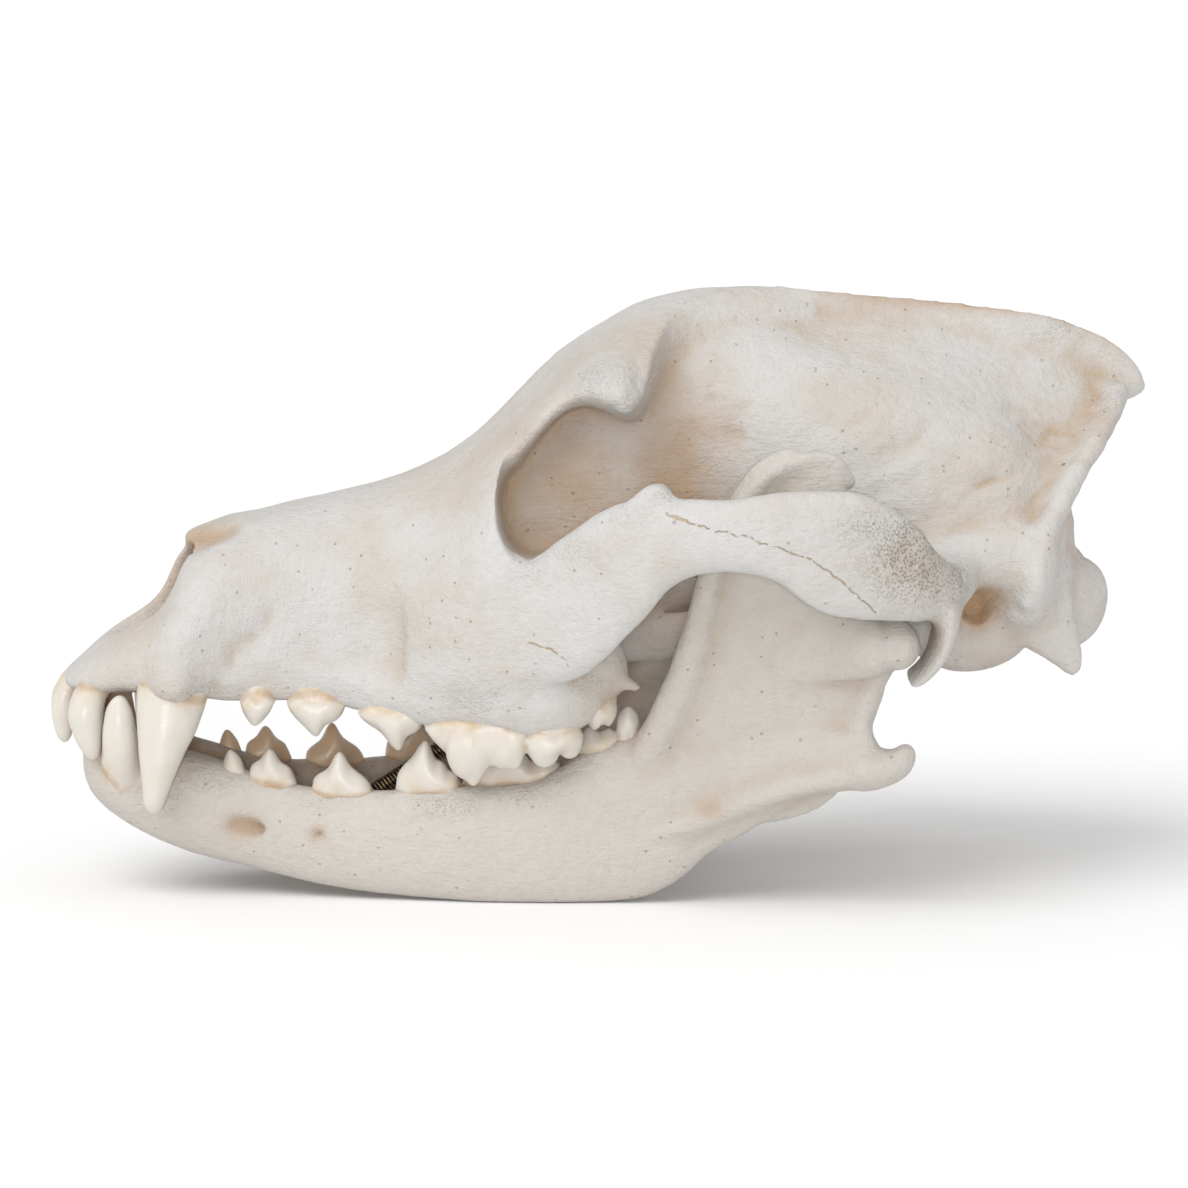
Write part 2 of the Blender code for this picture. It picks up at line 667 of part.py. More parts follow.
def jaw_pieces():
    """Left half of the lower jaw: body, upright plate with its ridges, joint and hook."""
    body = limb(
        [
            (-108.3, -4.6, 31.5, 4.8, 4.2),
            (-103.5, -6.0, 29.0, 6.6, 7.4),
            (-96.0, -7.8, 24.4, 8.2, 9.2),
            (-85.0, -9.5, 20.2, 7.6, 10.4),
            (-71.0, -12.8, 16.2, 5.0, 9.8),
            (-53.0, -17.6, 13.5, 4.6, 10.7),
            (-32.0, -22.4, 13.0, 4.9, 12.0),
            (-10.0, -25.6, 14.2, 5.0, 14.0),
            (4.0, -27.4, 18.6, 4.8, 17.0),
            (15.0, -29.2, 24.4, 4.2, 14.6),
            (25.0, -31.6, 28.0, 3.6, 12.5),
            (36.0, -35.4, 31.5, 3.2, 9.0),
            (48.0, -39.4, 32.5, 2.8, 6.5),
            (56.0, -41.4, 31.5, 2.6, 4.6),
        ],
        count=48,
        size=16,
        square=2.4,
    )
    plate = limb(
        [
            (20.0, -30.6, 23.0, 2.4, 9.0),
            (29.0, -33.4, 35.0, 2.0, 20.0),
            (33.0, -35.6, 45.0, 1.8, 19.0),
            (36.0, -37.4, 55.0, 1.8, 20.0),
            (34.5, -38.6, 64.0, 1.8, 16.5),
            (35.5, -39.8, 75.0, 1.8, 15.2),
            (37.5, -40.6, 85.0, 1.8, 13.0),
            (39.8, -41.0, 92.0, 1.7, 10.0),
            (42.0, -41.2, 96.8, 1.5, 5.5),
        ],
        up=(1, 0, 0),
        count=36,
        size=20,
        square=3.0,
        blunt=0.6,
    )
    front_ridge = limb(
        [
            (7.0, -29.0, 30.0, 4.2, 3.6),
            (12.0, -31.8, 40.0, 4.0, 3.2),
            (17.0, -35.0, 54.0, 3.4, 2.8),
            (19.5, -37.8, 66.0, 2.8, 2.6),
            (22.5, -40.0, 78.0, 2.3, 2.4),
            (28.0, -41.0, 88.0, 2.0, 2.0),
            (36.0, -41.4, 94.8, 1.8, 1.8),
            (46.0, -41.4, 95.8, 1.7, 1.7),
            (50.0, -41.0, 90.0, 1.6, 1.6),
        ],
        up=(0, 1, 0),
        count=36,
        size=12,
    )
    low_ridge = tube(
        (4.0, -30.0, 14.0, 3.0),
        (20.0, -33.6, 19.0, 3.2),
        (34.0, -37.6, 25.5, 3.0),
        (48.0, -41.5, 29.5, 2.8),
        (56.0, -42.5, 31.0, 2.6),
        count=26,
        size=10,
    )
    neck_ridge = tube((34.0, -37.4, 50.0, 1.8), (45.0, -40.0, 53.0, 2.8), (56.0, -43.0, 56.0, 3.6), size=10)
    condyle = limb(
        [
            (57.5, -31.0, 59.0, 3.4, 3.4),
            (58.2, -38.0, 58.0, 4.6, 4.6),
            (58.8, -48.0, 57.0, 4.8, 4.8),
            (59.2, -56.0, 56.5, 3.4, 3.4),
        ]
    )
    back_edge = tube(
        (57.0, -42.0, 55.0, 3.2),
        (53.5, -40.6, 46.0, 2.4),
        (52.0, -40.4, 39.0, 2.4),
        (54.0, -41.0, 33.0, 3.0),
        up=(1, 0, 0),
    )
    hook = tube(
        (48.0, -40.0, 31.0, 4.4),
        (55.0, -41.6, 31.2, 4.4),
        (60.0, -42.2, 32.6, 3.2),
        (62.2, -42.4, 36.6, 2.0),
        size=12,
    )
    return [body, plate, front_ridge, low_ridge, neck_ridge, condyle, back_edge, hook]


def jaw_clay(name, side, collection):
    pieces = [mirrored(surface, side) for surface in jaw_pieces()]
    whole = mesh_object(name, pieces[0], collection)
    combine(whole, pieces[1:], "UNION")
    remesh(whole, JAW_VOXEL)
    keep_largest(whole)
    relax(whole, 12)
    thin_out(whole, JAW_TRIANGLES)
    return whole


# Teeth

def cusp(foot, tip, along, across, row_turn=0.0, root=4.0, size=7):
    """Pointed crown with its sunk root: along and across are its half sizes at the gum."""
    foot, tip = np.array(foot, float), np.array(tip, float)
    axis = tip - foot
    down = axis / np.linalg.norm(axis)
    a = math.radians(row_turn)
    shares = [(-root, 0.85, 0.8), (0.06, 1.0, 1.0), (0.5, 0.72, 0.72), (0.84, 0.33, 0.4)]
    rings = []
    turn = np.linspace(0, 2 * math.pi, size, endpoint=False)
    row = np.array([math.cos(a), math.sin(a), 0.0])
    side = np.cross(down, row)
    for share, wide, thick in shares:
        middle = foot + (down * share if share < 0 else axis * share)
        ring = middle + np.cos(turn)[:, None] * row * along * wide
        rings.append(ring + np.sin(turn)[:, None] * side * across * thick)
    points, faces = loft(np.array(rings))
    points[-1] = tip
    return points, faces


# name, x, y, gum height, half length, half width, turn of the row, tip height, side cusps
UPPER_CHEEK_TEETH = [
    ("P1", -72.4, -17.4, 42.8, 3.7, 2.4, 0, 36.8, []),
    ("P2", -60.2, -18.0, 42.6, 5.6, 2.7, -4, 34.4, [(3.6, 38.2)]),
    ("P3", -43.8, -20.8, 40.6, 6.6, 3.0, -14, 31.9, [(4.4, 35.6)]),
    ("P4", -28.6, -28.8, 38.6, 7.4, 3.7, -28, 26.2, [(7.6, 29.4), (-7.0, 34.0)]),
    ("M1", -13.4, -31.2, 37.4, 5.0, 4.4, -8, 28.6, [(6.2, 32.0)]),
    ("M2", -1.8, -28.6, 43.4, 3.8, 4.2, 12, 38.0, [(3.2, 39.5)]),
]
LOWER_CHEEK_TEETH = [
    ("p1", -77.0, -11.6, 26.4, 2.5, 1.9, 0, 31.8, []),
    ("p2", -69.6, -13.4, 25.4, 4.7, 2.3, -12, 32.2, [(3.6, 28.4)]),
    ("p3", -55.0, -16.9, 23.6, 5.8, 2.6, -14, 31.3, [(4.4, 26.8)]),
    ("p4", -37.4, -20.8, 24.6, 6.0, 2.9, -14, 34.3, [(4.6, 29.4)]),
    ("m1", -20.0, -22.2, 26.0, 6.4, 3.2, -10, 37.0, [(-6.6, 33.5), (8.0, 32.5)]),
    ("m2", -1.6, -26.2, 31.8, 4.4, 3.0, -8, 38.0, [(-3.2, 36.5)]),
    ("m3", 5.0, -27.6, 37.0, 2.6, 2.4, -8, 42.8, []),
]


def cheek_teeth(table, side):
    made = []
    for name, x, y, gum, along, across, turn, tip, others in table:
        a = math.radians(turn)
        reach = -1 if tip < gum else 1
        peaks = [(0.0, tip, 1.0)] + [(offset, height, 0.62) for offset, height in others]
        for offset, height, share in peaks:
            foot = (x + offset * math.cos(a), y + offset * math.sin(a), gum)
            peak = (foot[0], foot[1] - 0.5 * (reach < 0), height)
            made.append(cusp(foot, peak, along * share, across * (0.6 + 0.4 * share), turn))
    return [mirrored(surface, side) for surface in made]


def molar_lobes(side):
    """Low inner halves of the two upper molars."""
    lobes = [
        ball((-11.5, -26.5, 40.6), (5.6, 5.8, 5.0), count=6, size=8),
        ball((-0.4, -24.8, 45.5), (4.0, 4.2, 5.0), count=6, size=8),
    ]
    return [mirrored(surface, side) for surface in lobes]


def front_teeth_upper(side):
    canine = limb(
        [
            (-86.5, -15.0, 58.0, 3.6, 5.0),
            (-90.4, -17.0, 47.0, 4.4, 6.8),
            (-91.8, -18.6, 40.0, 4.2, 6.2),
            (-94.0, -19.8, 33.0, 3.4, 4.5),
            (-94.6, -20.6, 26.5, 2.6, 3.2),
            (-94.4, -21.0, 19.8, 1.5, 1.8),
        ],
        up=(1, 0, 0),
        count=9,
        size=8,
    )
    made = [canine]
    for x, y, lean, drop, along, across in [
        (-111.2, -2.9, -1.8, 32.6, 2.2, 2.4),
        (-110.4, -7.8, -1.6, 31.6, 2.4, 2.6),
        (-107.8, -12.0, 0.8, 30.4, 3.7, 2.9),
    ]:
        made.append(cusp((x, y, 45.0), (x + lean, y * 1.06, drop), along, across, root=3.0))
    return [mirrored(surface, side) for surface in made]


def front_teeth_lower(side):
    canine = limb(
        [
            (-94.0, -10.0, 12.0, 3.2, 4.0),
            (-99.4, -13.0, 24.0, 4.0, 5.0),
            (-101.2, -14.8, 33.0, 3.3, 3.9),
            (-101.4, -15.4, 39.5, 2.3, 2.6),
            (-101.0, -15.6, 44.8, 1.0, 1.1),
        ],
        up=(1, 0, 0),
        count=9,
        size=8,
    )
    made = [canine]
    for x, y, top in [(-105.6, -2.2, 41.0), (-105.4, -5.8, 41.4), (-105.0, -9.4, 40.8)]:
        made.append(cusp((x, y, 32.0), (x - 1.0, y, top), 1.7, 1.7, root=3.0))
    return [mirrored(surface, side) for surface in made]


# Thin cuts, springs and the finished parts

def block(low, high):
    x0, y0, z0 = low
    x1, y1, z1 = high
    points = np.array([(x, y, z) for x in (x0, x1) for y in (y0, y1) for z in (z0, z1)], float)
    faces = [[0, 1, 3, 2], [4, 6, 7, 5], [0, 4, 5, 1], [2, 3, 7, 6], [0, 2, 6, 4], [1, 5, 7, 3]]
    return points, faces


def leaned(surface, slope, level):
    """Shears a block along x by slope for each millimetre above the level."""
    points, faces = surface
    moved = points.copy()
    moved[:, 0] += slope * (moved[:, 2] - level)
    return moved, faces


def arch_block(side, grow):
    """Room that takes the cheek arch off: its front face leans back as the suture does."""
    points, faces = block((-11.0 - grow, -70.0, 40.0), (80.0, -38.5 + grow, 104.0))
    return mirrored(leaned((points, faces), 0.45, 66.0), side)


def copy_of(source, name, collection):
    made = bpy.data.objects.new(name, source.data.copy())
    collection.objects.link(made)
    return made


def spring(name, collection):
    """Close wound coil that holds the jaws together, as a ribbed rod."""
    start, end = np.array((-50.5, -11.2, 20.6)), np.array((-15.8, -8.5, 41.6))
    turns = 16
    at = np.linspace(0, 1, 2 * turns + 1)
    radius = np.where(np.arange(len(at)) % 2 == 1, 1.95, 1.65)
    ahead = (end - start) / np.linalg.norm(end - start)
    across = np.array((0.0, 1.0, 0.0))
    rise = np.cross(ahead, across)
    turn = np.linspace(0, 2 * math.pi, 7, endpoint=False)
    rings = (start + at[:, None] * (end - start))[:, None]
    rings = rings + radius[:, None, None] * (
        np.cos(turn)[None, :, None] * across + np.sin(turn)[None, :, None] * rise
    )
    made = mesh_object(name, loft(rings), collection)
    made.data.materials.append(material("steel", STEEL, 0.4, 1.0))
    return made


def finish(target):
    keep_largest(target)
    target.data.materials.clear()
    target.data.materials.append(material("bone_" + target.name, BONE, 0.55))
    for polygon in target.data.polygons:
        polygon.use_smooth = True


def build():
    for one in list(bpy.data.objects):
        bpy.data.objects.remove(one)
    skull = new_collection("dog_skull")
    cranium = cranium_clay(skull)
    teeth = []
    for side in SIDES.values():
        teeth += cheek_teeth(UPPER_CHEEK_TEETH, side) + front_teeth_upper(side) + molar_lobes(side)
    combine(cranium, teeth, "UNION")
    for name, side in SIDES.items():
        arch = copy_of(cranium, "zygomatic_arch_" + name, skull)
        combine(arch, [arch_block(side, 0.0)], "INTERSECT")
        finish(arch)
    combine(cranium, [arch_block(side, CUT) for side in SIDES.values()], "DIFFERENCE")
    snout = copy_of(cranium, "upper_jaw", skull)
    front = leaned(block((-130.0, -60.0, 20.0), (-12.0, 60.0, 140.0)), -0.62, 72.0)
    back = leaned(block((-12.0 + CUT, -60.0, 20.0), (220.0, 60.0, 140.0)), -0.62, 72.0)
    combine(snout, [front], "INTERSECT")
    finish(snout)
    combine(cranium, [back], "INTERSECT")
    for name, low, high in [("frontal_bone", -60.0, BROW_SEAM), ("occipital_bone", NAPE_SEAM, 140.0)]:
        cap = copy_of(cranium, name, skull)
        combine(cap, [block((low, -60.0, 20.0), (high, 60.0, 140.0))], "INTERSECT")
        finish(cap)
    middle = block((BROW_SEAM + CUT, -60.0, 20.0), (NAPE_SEAM - CUT, 60.0, 140.0))
    cranium.name = "braincase"
    combine(cranium, [middle], "INTERSECT")
    finish(cranium)
    for name, side in SIDES.items():
        jaw = jaw_clay("mandible_" + name, side, skull)
        combine(jaw, cheek_teeth(LOWER_CHEEK_TEETH, side) + front_teeth_lower(side), "UNION")
        across = block((-130.0, -CUT / 2, -10.0), (80.0, 40.0, 120.0))
        below = block((-130.0, -80.0, -10.0), (80.0, 80.0, TABLE_LEVEL))
        combine(jaw, [mirrored(across, side), below], "DIFFERENCE")
        finish(jaw)
    spring("jaw_spring", skull)


build()
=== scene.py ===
import json
import math

import bpy
import numpy as np
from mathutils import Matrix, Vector

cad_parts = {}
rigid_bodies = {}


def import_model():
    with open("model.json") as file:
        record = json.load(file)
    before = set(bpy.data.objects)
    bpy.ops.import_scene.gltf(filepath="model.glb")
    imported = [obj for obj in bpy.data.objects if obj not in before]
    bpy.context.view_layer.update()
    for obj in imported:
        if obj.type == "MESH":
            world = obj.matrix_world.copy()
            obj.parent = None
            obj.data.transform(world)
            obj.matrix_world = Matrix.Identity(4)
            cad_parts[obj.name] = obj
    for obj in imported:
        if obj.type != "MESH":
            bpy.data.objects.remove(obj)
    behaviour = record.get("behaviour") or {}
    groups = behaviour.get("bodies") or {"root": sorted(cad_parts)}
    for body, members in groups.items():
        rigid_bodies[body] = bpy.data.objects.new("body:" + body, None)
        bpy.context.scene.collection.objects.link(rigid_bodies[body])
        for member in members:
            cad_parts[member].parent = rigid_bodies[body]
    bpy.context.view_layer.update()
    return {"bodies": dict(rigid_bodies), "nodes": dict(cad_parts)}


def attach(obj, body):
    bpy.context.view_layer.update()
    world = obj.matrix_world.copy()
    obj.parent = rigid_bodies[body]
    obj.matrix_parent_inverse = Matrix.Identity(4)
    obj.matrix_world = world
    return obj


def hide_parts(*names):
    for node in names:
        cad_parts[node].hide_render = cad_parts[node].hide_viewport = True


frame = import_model()

bl_info = {
    "name": "Dog skull",
    "version": (1, 0, 0),
    "blender": (4, 5, 0),
    "location": "3D View > Sidebar > Skull",
    "description": "Bleached dog skull with its teeth, as a museum shows it",
    "category": "Add Mesh",
}

# Shapes are worked out in millimetres, and this point of theirs becomes the frame's origin.
MM = 0.001
ORIGIN = np.array([2.0, 0.0, 1.2])
TABLE_LEVEL = ORIGIN[2]
SIDES = (-1, 1)
BODY = next(iter(frame["bodies"]))


# Sizes and colours that a user would change

class SkullSizes(bpy.types.PropertyGroup):
    arch_half_width: bpy.props.FloatProperty(
        name="Cheek arch half width", description="From the middle out to the cheek arch",
        default=0.058, min=0.05, max=0.065, unit="LENGTH")
    braincase_half_width: bpy.props.FloatProperty(
        name="Braincase half width", description="Half the width of the braincase",
        default=0.031, min=0.025, max=0.036, unit="LENGTH")
    cheek_half_width: bpy.props.FloatProperty(
        name="Cheek half width", description="Half the width of the upper jaw at its last teeth",
        default=0.038, min=0.033, max=0.042, unit="LENGTH")
    muzzle_half_width: bpy.props.FloatProperty(
        name="Muzzle half width", description="Half the width of the muzzle",
        default=0.0205, min=0.017, max=0.024, unit="LENGTH")
    cranium_voxel: bpy.props.FloatProperty(
        name="Cranium voxel", description="Voxel that the cranium is remeshed with",
        default=0.00072, min=0.0005, max=0.002, unit="LENGTH", precision=5)
    jaw_voxel: bpy.props.FloatProperty(
        name="Jaw voxel", description="Voxel that each lower jaw is remeshed with",
        default=0.00055, min=0.0004, max=0.002, unit="LENGTH", precision=5)
    tooth_voxel: bpy.props.FloatProperty(
        name="Tooth voxel", description="Voxel that the teeth are remeshed with",
        default=0.0003, min=0.0002, max=0.001, unit="LENGTH", precision=5)
    triangles: bpy.props.IntProperty(
        name="Triangles", description="Most triangles that a piece keeps",
        default=190000, min=20000, max=199000)
    tooth_triangles: bpy.props.IntProperty(
        name="Tooth triangles", description="Most triangles that each row of teeth keeps",
        default=90000, min=10000, max=199000)
    relief: bpy.props.FloatProperty(
        name="Relief", description="Strength of the uneven surface", default=1.0, min=0.0, max=2.0)
    spring_wire: bpy.props.FloatProperty(
        name="Spring wire", description="Radius of the wire of the jaw spring",
        default=0.00034, min=0.0001, max=0.001, unit="LENGTH", precision=5)
    spring_pitch: bpy.props.FloatProperty(
        name="Spring pitch", description="Distance from turn to turn of the jaw spring",
        default=0.00077, min=0.0005, max=0.002, unit="LENGTH", precision=5)


class SkullFinish(bpy.types.PropertyGroup):
    bone: bpy.props.FloatVectorProperty(
        name="Bone", description="Bleached bone", subtype="COLOR", size=4,
        default=(0.560, 0.553, 0.543, 1.0))
    bone_warm: bpy.props.FloatVectorProperty(
        name="Warm bone", description="Slightly warmer patches of the bone", subtype="COLOR",
        size=4, default=(0.495, 0.450, 0.392, 1.0))
    # Tan of creases and recesses: partly the bone's real tan and partly painted shade
    hollow: bpy.props.FloatVectorProperty(
        name="Hollows", description="Bone in creases and recesses", subtype="COLOR", size=4,
        default=(0.430, 0.325, 0.225, 1.0))
    # Tan for real stain and for painted shade in the deep openings, recesses and undersides
    stain_and_shade: bpy.props.FloatVectorProperty(
        name="Stain", description="Tan stain in the deep openings", subtype="COLOR", size=4,
        default=(0.415, 0.265, 0.150, 1.0))
    # Dark colour painted in pits and small holes as the shade inside them
    pore_shade: bpy.props.FloatVectorProperty(
        name="Pores", description="Bottom of the pores and small holes", subtype="COLOR", size=4,
        default=(0.330, 0.230, 0.150, 1.0))
    grime: bpy.props.FloatVectorProperty(
        name="Grime", description="Grey-brown tint of the spongiest bone", subtype="COLOR", size=4,
        default=(0.400, 0.345, 0.290, 1.0))
    seam: bpy.props.FloatVectorProperty(
        name="Seams", description="Golden brown line where two bones meet", subtype="COLOR",
        size=4, default=(0.470, 0.310, 0.150, 1.0))
    enamel: bpy.props.FloatVectorProperty(
        name="Enamel", description="Teeth", subtype="COLOR", size=4,
        default=(0.595, 0.562, 0.505, 1.0))
    enamel_warm: bpy.props.FloatVectorProperty(
        name="Warm enamel", description="Necks and grooves of the teeth", subtype="COLOR", size=4,
        default=(0.520, 0.390, 0.245, 1.0))
    enamel_inner: bpy.props.FloatVectorProperty(
        name="Inner enamel", description="Tan side of the teeth towards the tongue", subtype="COLOR",
        size=4, default=(0.700, 0.490, 0.310, 1.0))
    gum_line: bpy.props.FloatVectorProperty(
        name="Gum line", description="Brown line where a tooth leaves the bone", subtype="COLOR",
        size=4, default=(0.360, 0.210, 0.100, 1.0))
    steel: bpy.props.FloatVectorProperty(
        name="Steel", description="Wire of the spring", subtype="COLOR", size=4,
        default=(0.115, 0.095, 0.070, 1.0))
    steel_worn: bpy.props.FloatVectorProperty(
        name="Worn steel", description="Golden brown tinge on the worn wire", subtype="COLOR", size=4,
        default=(0.300, 0.210, 0.110, 1.0))
    roughness: bpy.props.FloatProperty(
        name="Bone roughness", description="Roughness of the bone", default=0.56, min=0.2,
        max=1.0, subtype="FACTOR")


class SkullStudio(bpy.types.PropertyGroup):
    floor: bpy.props.FloatVectorProperty(
        name="Floor", description="Plain pale floor", subtype="COLOR", size=4,
        default=(0.93, 0.93, 0.93, 1.0))
    sky: bpy.props.FloatProperty(
        name="Soft light", description="Even light from all round", default=0.71, min=0.0, max=4.0)
    sun: bpy.props.FloatProperty(
        name="Key light", description="Strength of the broad light from the upper left",
        default=1.55, min=0.0, max=10.0)
    fill: bpy.props.FloatProperty(
        name="Fill light", description="Strength of the soft light along the camera's view",
        default=0.85, min=0.0, max=10.0)
    fill_spread: bpy.props.FloatProperty(
        name="Fill light spread", description="How broad the fill light looks",
        default=math.radians(8), min=0.0, max=math.pi, subtype="ANGLE")
    sun_spread: bpy.props.FloatProperty(
        name="Key light spread", description="How broad the key light looks, which softens shadows",
        default=math.radians(46), min=0.0, max=math.pi, subtype="ANGLE")
    azimuth: bpy.props.FloatProperty(
        name="Camera azimuth", description="Turn of the camera round the skull",
        default=math.radians(-5), subtype="ANGLE")
    elevation: bpy.props.FloatProperty(
        name="Camera elevation", description="Height of the camera above the horizon",
        default=math.radians(9), subtype="ANGLE")
    distance: bpy.props.FloatProperty(
        name="Camera distance", description="From the camera to the middle of the view",
        default=1.3, min=0.5, max=5.0, unit="LENGTH")
    aim: bpy.props.FloatProperty(
        name="Aim height", description="Height above the table that the camera looks at",
        default=0.061, unit="LENGTH")
    lens: bpy.props.FloatProperty(
        name="Lens", description="Focal length in millimetres", default=185.0, min=50, max=400)


def sizes():
    """The sizes that the user has set."""
    return bpy.context.scene.skull_sizes


def finishes():
    """The colours that the user has set."""
    return bpy.context.scene.skull_finish


def mm(value):
    """A size in metres as millimetres."""
    return value / MM


# Curves and surfaces: each surface is its points and its four-sided and three-sided faces

def through(stations, values, at, level=False):
    """Smooth curve: between two stations it is the cubic whose slopes at both are those of the
    neighbouring stations. Where level is set, a station's slope is the harmonic mean of the two
    chords beside it, or nothing at a peak, so the curve never passes a station's value."""
    x = np.asarray(stations, float)
    v = np.asarray(values, float).reshape(len(x), -1)
    slope = np.gradient(v, x, axis=0)
    if level:
        chord = np.diff(v, axis=0) / np.diff(x)[:, None]
        a, b = chord[:-1], chord[1:]
        alike = a * b > 0
        slope[1:-1] = np.where(alike, 2 * a * b / np.where(alike, a + b, 1), 0)
    i = np.clip(np.searchsorted(x, at) - 1, 0, len(x) - 2)
    h = (x[i + 1] - x[i])[:, None]
    t = ((at - x[i]) / (x[i + 1] - x[i]))[:, None]
    return (
        (2 * t**3 - 3 * t**2 + 1) * v[i]
        + (t**3 - 2 * t**2 + t) * h * slope[i]
        + (3 * t**2 - 2 * t**3) * v[i + 1]
        + (t**3 - t**2) * h * slope[i + 1]
    )


def power(value, exponent):
    """The value's sign times its size to a power, which squares off or sharpens a circle."""
    return np.sign(value) * np.abs(value) ** exponent


def loft(rings):
    """Rings of points joined by four-sided faces, with a fan to the middle of each end ring."""
    count, size = rings.shape[:2]
    points = np.vstack([rings.reshape(-1, 3), rings[0].mean(0), rings[-1].mean(0)])
    ring = np.arange(size)
    after = np.roll(ring, -1)
    rows = np.arange(count - 1)[:, None] * size
    walls = np.stack([rows + ring, rows + after, rows + size + after, rows + size + ring], -1)
    first = count * size
    last = (count - 1) * size
    start = np.stack([after, ring, np.full(size, first)], -1)
    end = np.stack([last + ring, last + after, np.full(size, first + 1)], -1)
    return outward(points, walls.reshape(-1, 4), np.vstack([start, end]))


def outward(points, quads, fans):
    """Turns every face round where the volume, summed over the faces from the origin, is
    negative."""
    three = np.vstack([quads[:, [0, 1, 2]], quads[:, [0, 2, 3]], fans])
    a, b, c = points[three[:, 0]], points[three[:, 1]], points[three[:, 2]]
    if (a * np.cross(b, c)).sum() < 0:
        quads, fans = quads[:, ::-1], fans[:, ::-1]
    return points, quads, fans


def hull_along_x(rows, count=90, size=64):
    """Upright sections along x. Half way round, y is the half width times the cosine to a power,
    and z goes from the widest level to crown or floor by the sine to a power. Each row is x,
    crown, floor, half width, widest level, top power and low power."""
    table = np.array(rows, float)
    at = np.linspace(table[0, 0], table[-1, 0], count)
    crown, floor, half, widest, top, low = through(table[:, 0], table[:, 1:], at).T
    turn = np.linspace(0, 2 * math.pi, size, endpoint=False)
    c, s = np.cos(turn), np.sin(turn)
    round_by = np.where(s > 0, 2 / top[:, None], 2 / low[:, None])
    reach = np.where(s > 0, (crown - widest)[:, None], (widest - floor)[:, None])
    y = half[:, None] * power(c[None], round_by)
    z = widest[:, None] + reach * power(s[None], round_by)
    x = np.broadcast_to(at[:, None], y.shape)
    return loft(np.stack([x, y, z], -1))


def limb(rows, up=(0, 0, 1), count=44, size=30, square=2.0, blunt=1.0):
    """Ovals across a bent path: the path's point, plus the side vector times half width and
    cosine, plus the rise vector times half height and sine, with both drawn in to a round end.
    Each row is x, y, z, half width across and half height along up."""
    table = np.array(rows, float)
    steps = np.linalg.norm(np.diff(table[:, :3], axis=0), axis=1)
    run = np.concatenate([[0], np.cumsum(steps)])
    at = (1 - np.cos(np.linspace(0, math.pi, count))) / 2 * run[-1]
    values = through(run, table, at)
    path, wide, tall = values[:, :3], values[:, 3], values[:, 4]
    ahead = np.gradient(path, at, axis=0)
    ahead /= np.linalg.norm(ahead, axis=1)[:, None]
    side = np.cross(ahead, np.broadcast_to(np.asarray(up, float), ahead.shape))
    side /= np.linalg.norm(side, axis=1)[:, None]
    rise = np.cross(side, ahead)
    near = np.minimum(at, run[-1] - at) / (blunt * np.minimum(wide, tall))
    taper = np.sqrt(np.clip(1 - (1 - np.clip(near, 0, 1)) ** 2, 0.0025, 1))
    turn = np.linspace(0, 2 * math.pi, size, endpoint=False)
    c, s = power(np.cos(turn), 2 / square), power(np.sin(turn), 2 / square)
    return loft(
        path[:, None]
        + side[:, None] * (wide * taper)[:, None, None] * c[None, :, None]
        + rise[:, None] * (tall * taper)[:, None, None] * s[None, :, None]
    )


def tube(*rows, **shape):
    """Limb whose rows give a point and one radius."""
    return limb([(*row, row[-1]) for row in rows], **shape)


def ball(centre, radii, lean=0.0, count=26, size=32):
    """Ellipsoid from its cosines and sines, leaned about the y axis by so many degrees."""
    angle = np.linspace(0.04, math.pi - 0.04, count)
    turn = np.linspace(0, 2 * math.pi, size, endpoint=False)
    x = np.broadcast_to(np.cos(angle)[:, None], (count, size)) * radii[0]
    y = np.sin(angle)[:, None] * np.cos(turn) * radii[1]
    z = np.sin(angle)[:, None] * np.sin(turn) * radii[2]
    a = math.radians(lean)
    tilted = np.stack([x * math.cos(a) + z * math.sin(a), y, z * math.cos(a) - x * math.sin(a)], -1)
    return loft(tilted + np.asarray(centre, float))


# Share of the way up a tooth's section that is root
ROOT_SHARE = 0.22


def crown(outline, y, gum, half, turn=0.0, arch=0.9, root=4.0, count=52, size=52):
    """Tooth whose side view is the outline. At each station of the row a section goes up from
    the root on one side, over the cutting edge and down the other. Its half width is the plan's
    ellipse times one minus the height share squared, and is less below the neck, which waves
    between the two roots by the arch."""
    shape = np.array(outline, float)
    a = math.radians(turn)
    middle = (shape[0, 0] + shape[-1, 0]) / 2
    reach = (shape[-1, 0] - shape[0, 0]) / 2
    place = -np.cos(np.linspace(0.0, math.pi, count)) * 0.999
    at = middle + reach * place
    height = through(shape[:, 0], shape[:, 1], at, level=True)[:, 0]
    plan = np.clip(1 - place**2, 0.03, 1) ** 0.42
    up = 1 if height.mean() > gum else -1
    neck = gum + up * arch * 0.5 * np.cos(2 * math.pi * place)
    turnover = np.linspace(-1, 1, size)
    level = 1 - np.abs(turnover)
    in_bone = level < ROOT_SHARE
    sunk = level / ROOT_SHARE
    share = np.clip((level - ROOT_SHARE) / (1 - ROOT_SHARE), 0, 1)
    belly = np.clip(1 - share**2.3, 0, 1) ** 0.6 * (0.90 + 0.2 * np.sin(share * math.pi))
    belly = np.where(in_bone, 0.62 + 0.18 * sunk, belly)
    across = half * plan[:, None] * np.sign(turnover) * belly
    bottom = gum - up * root
    below = bottom + (neck[:, None] - bottom) * sunk
    above = neck[:, None] + (height - neck)[:, None] * share
    z = np.where(in_bone, below, above)
    drawn = np.where(in_bone, 0.80 + 0.12 * sunk, 1.0)
    along = (at[:, None] - middle) * drawn[None]
    x = middle + along - across * math.sin(a)
    out = y + along * math.tan(a) + across * math.cos(a)
    return loft(np.stack([x, out, z], -1))


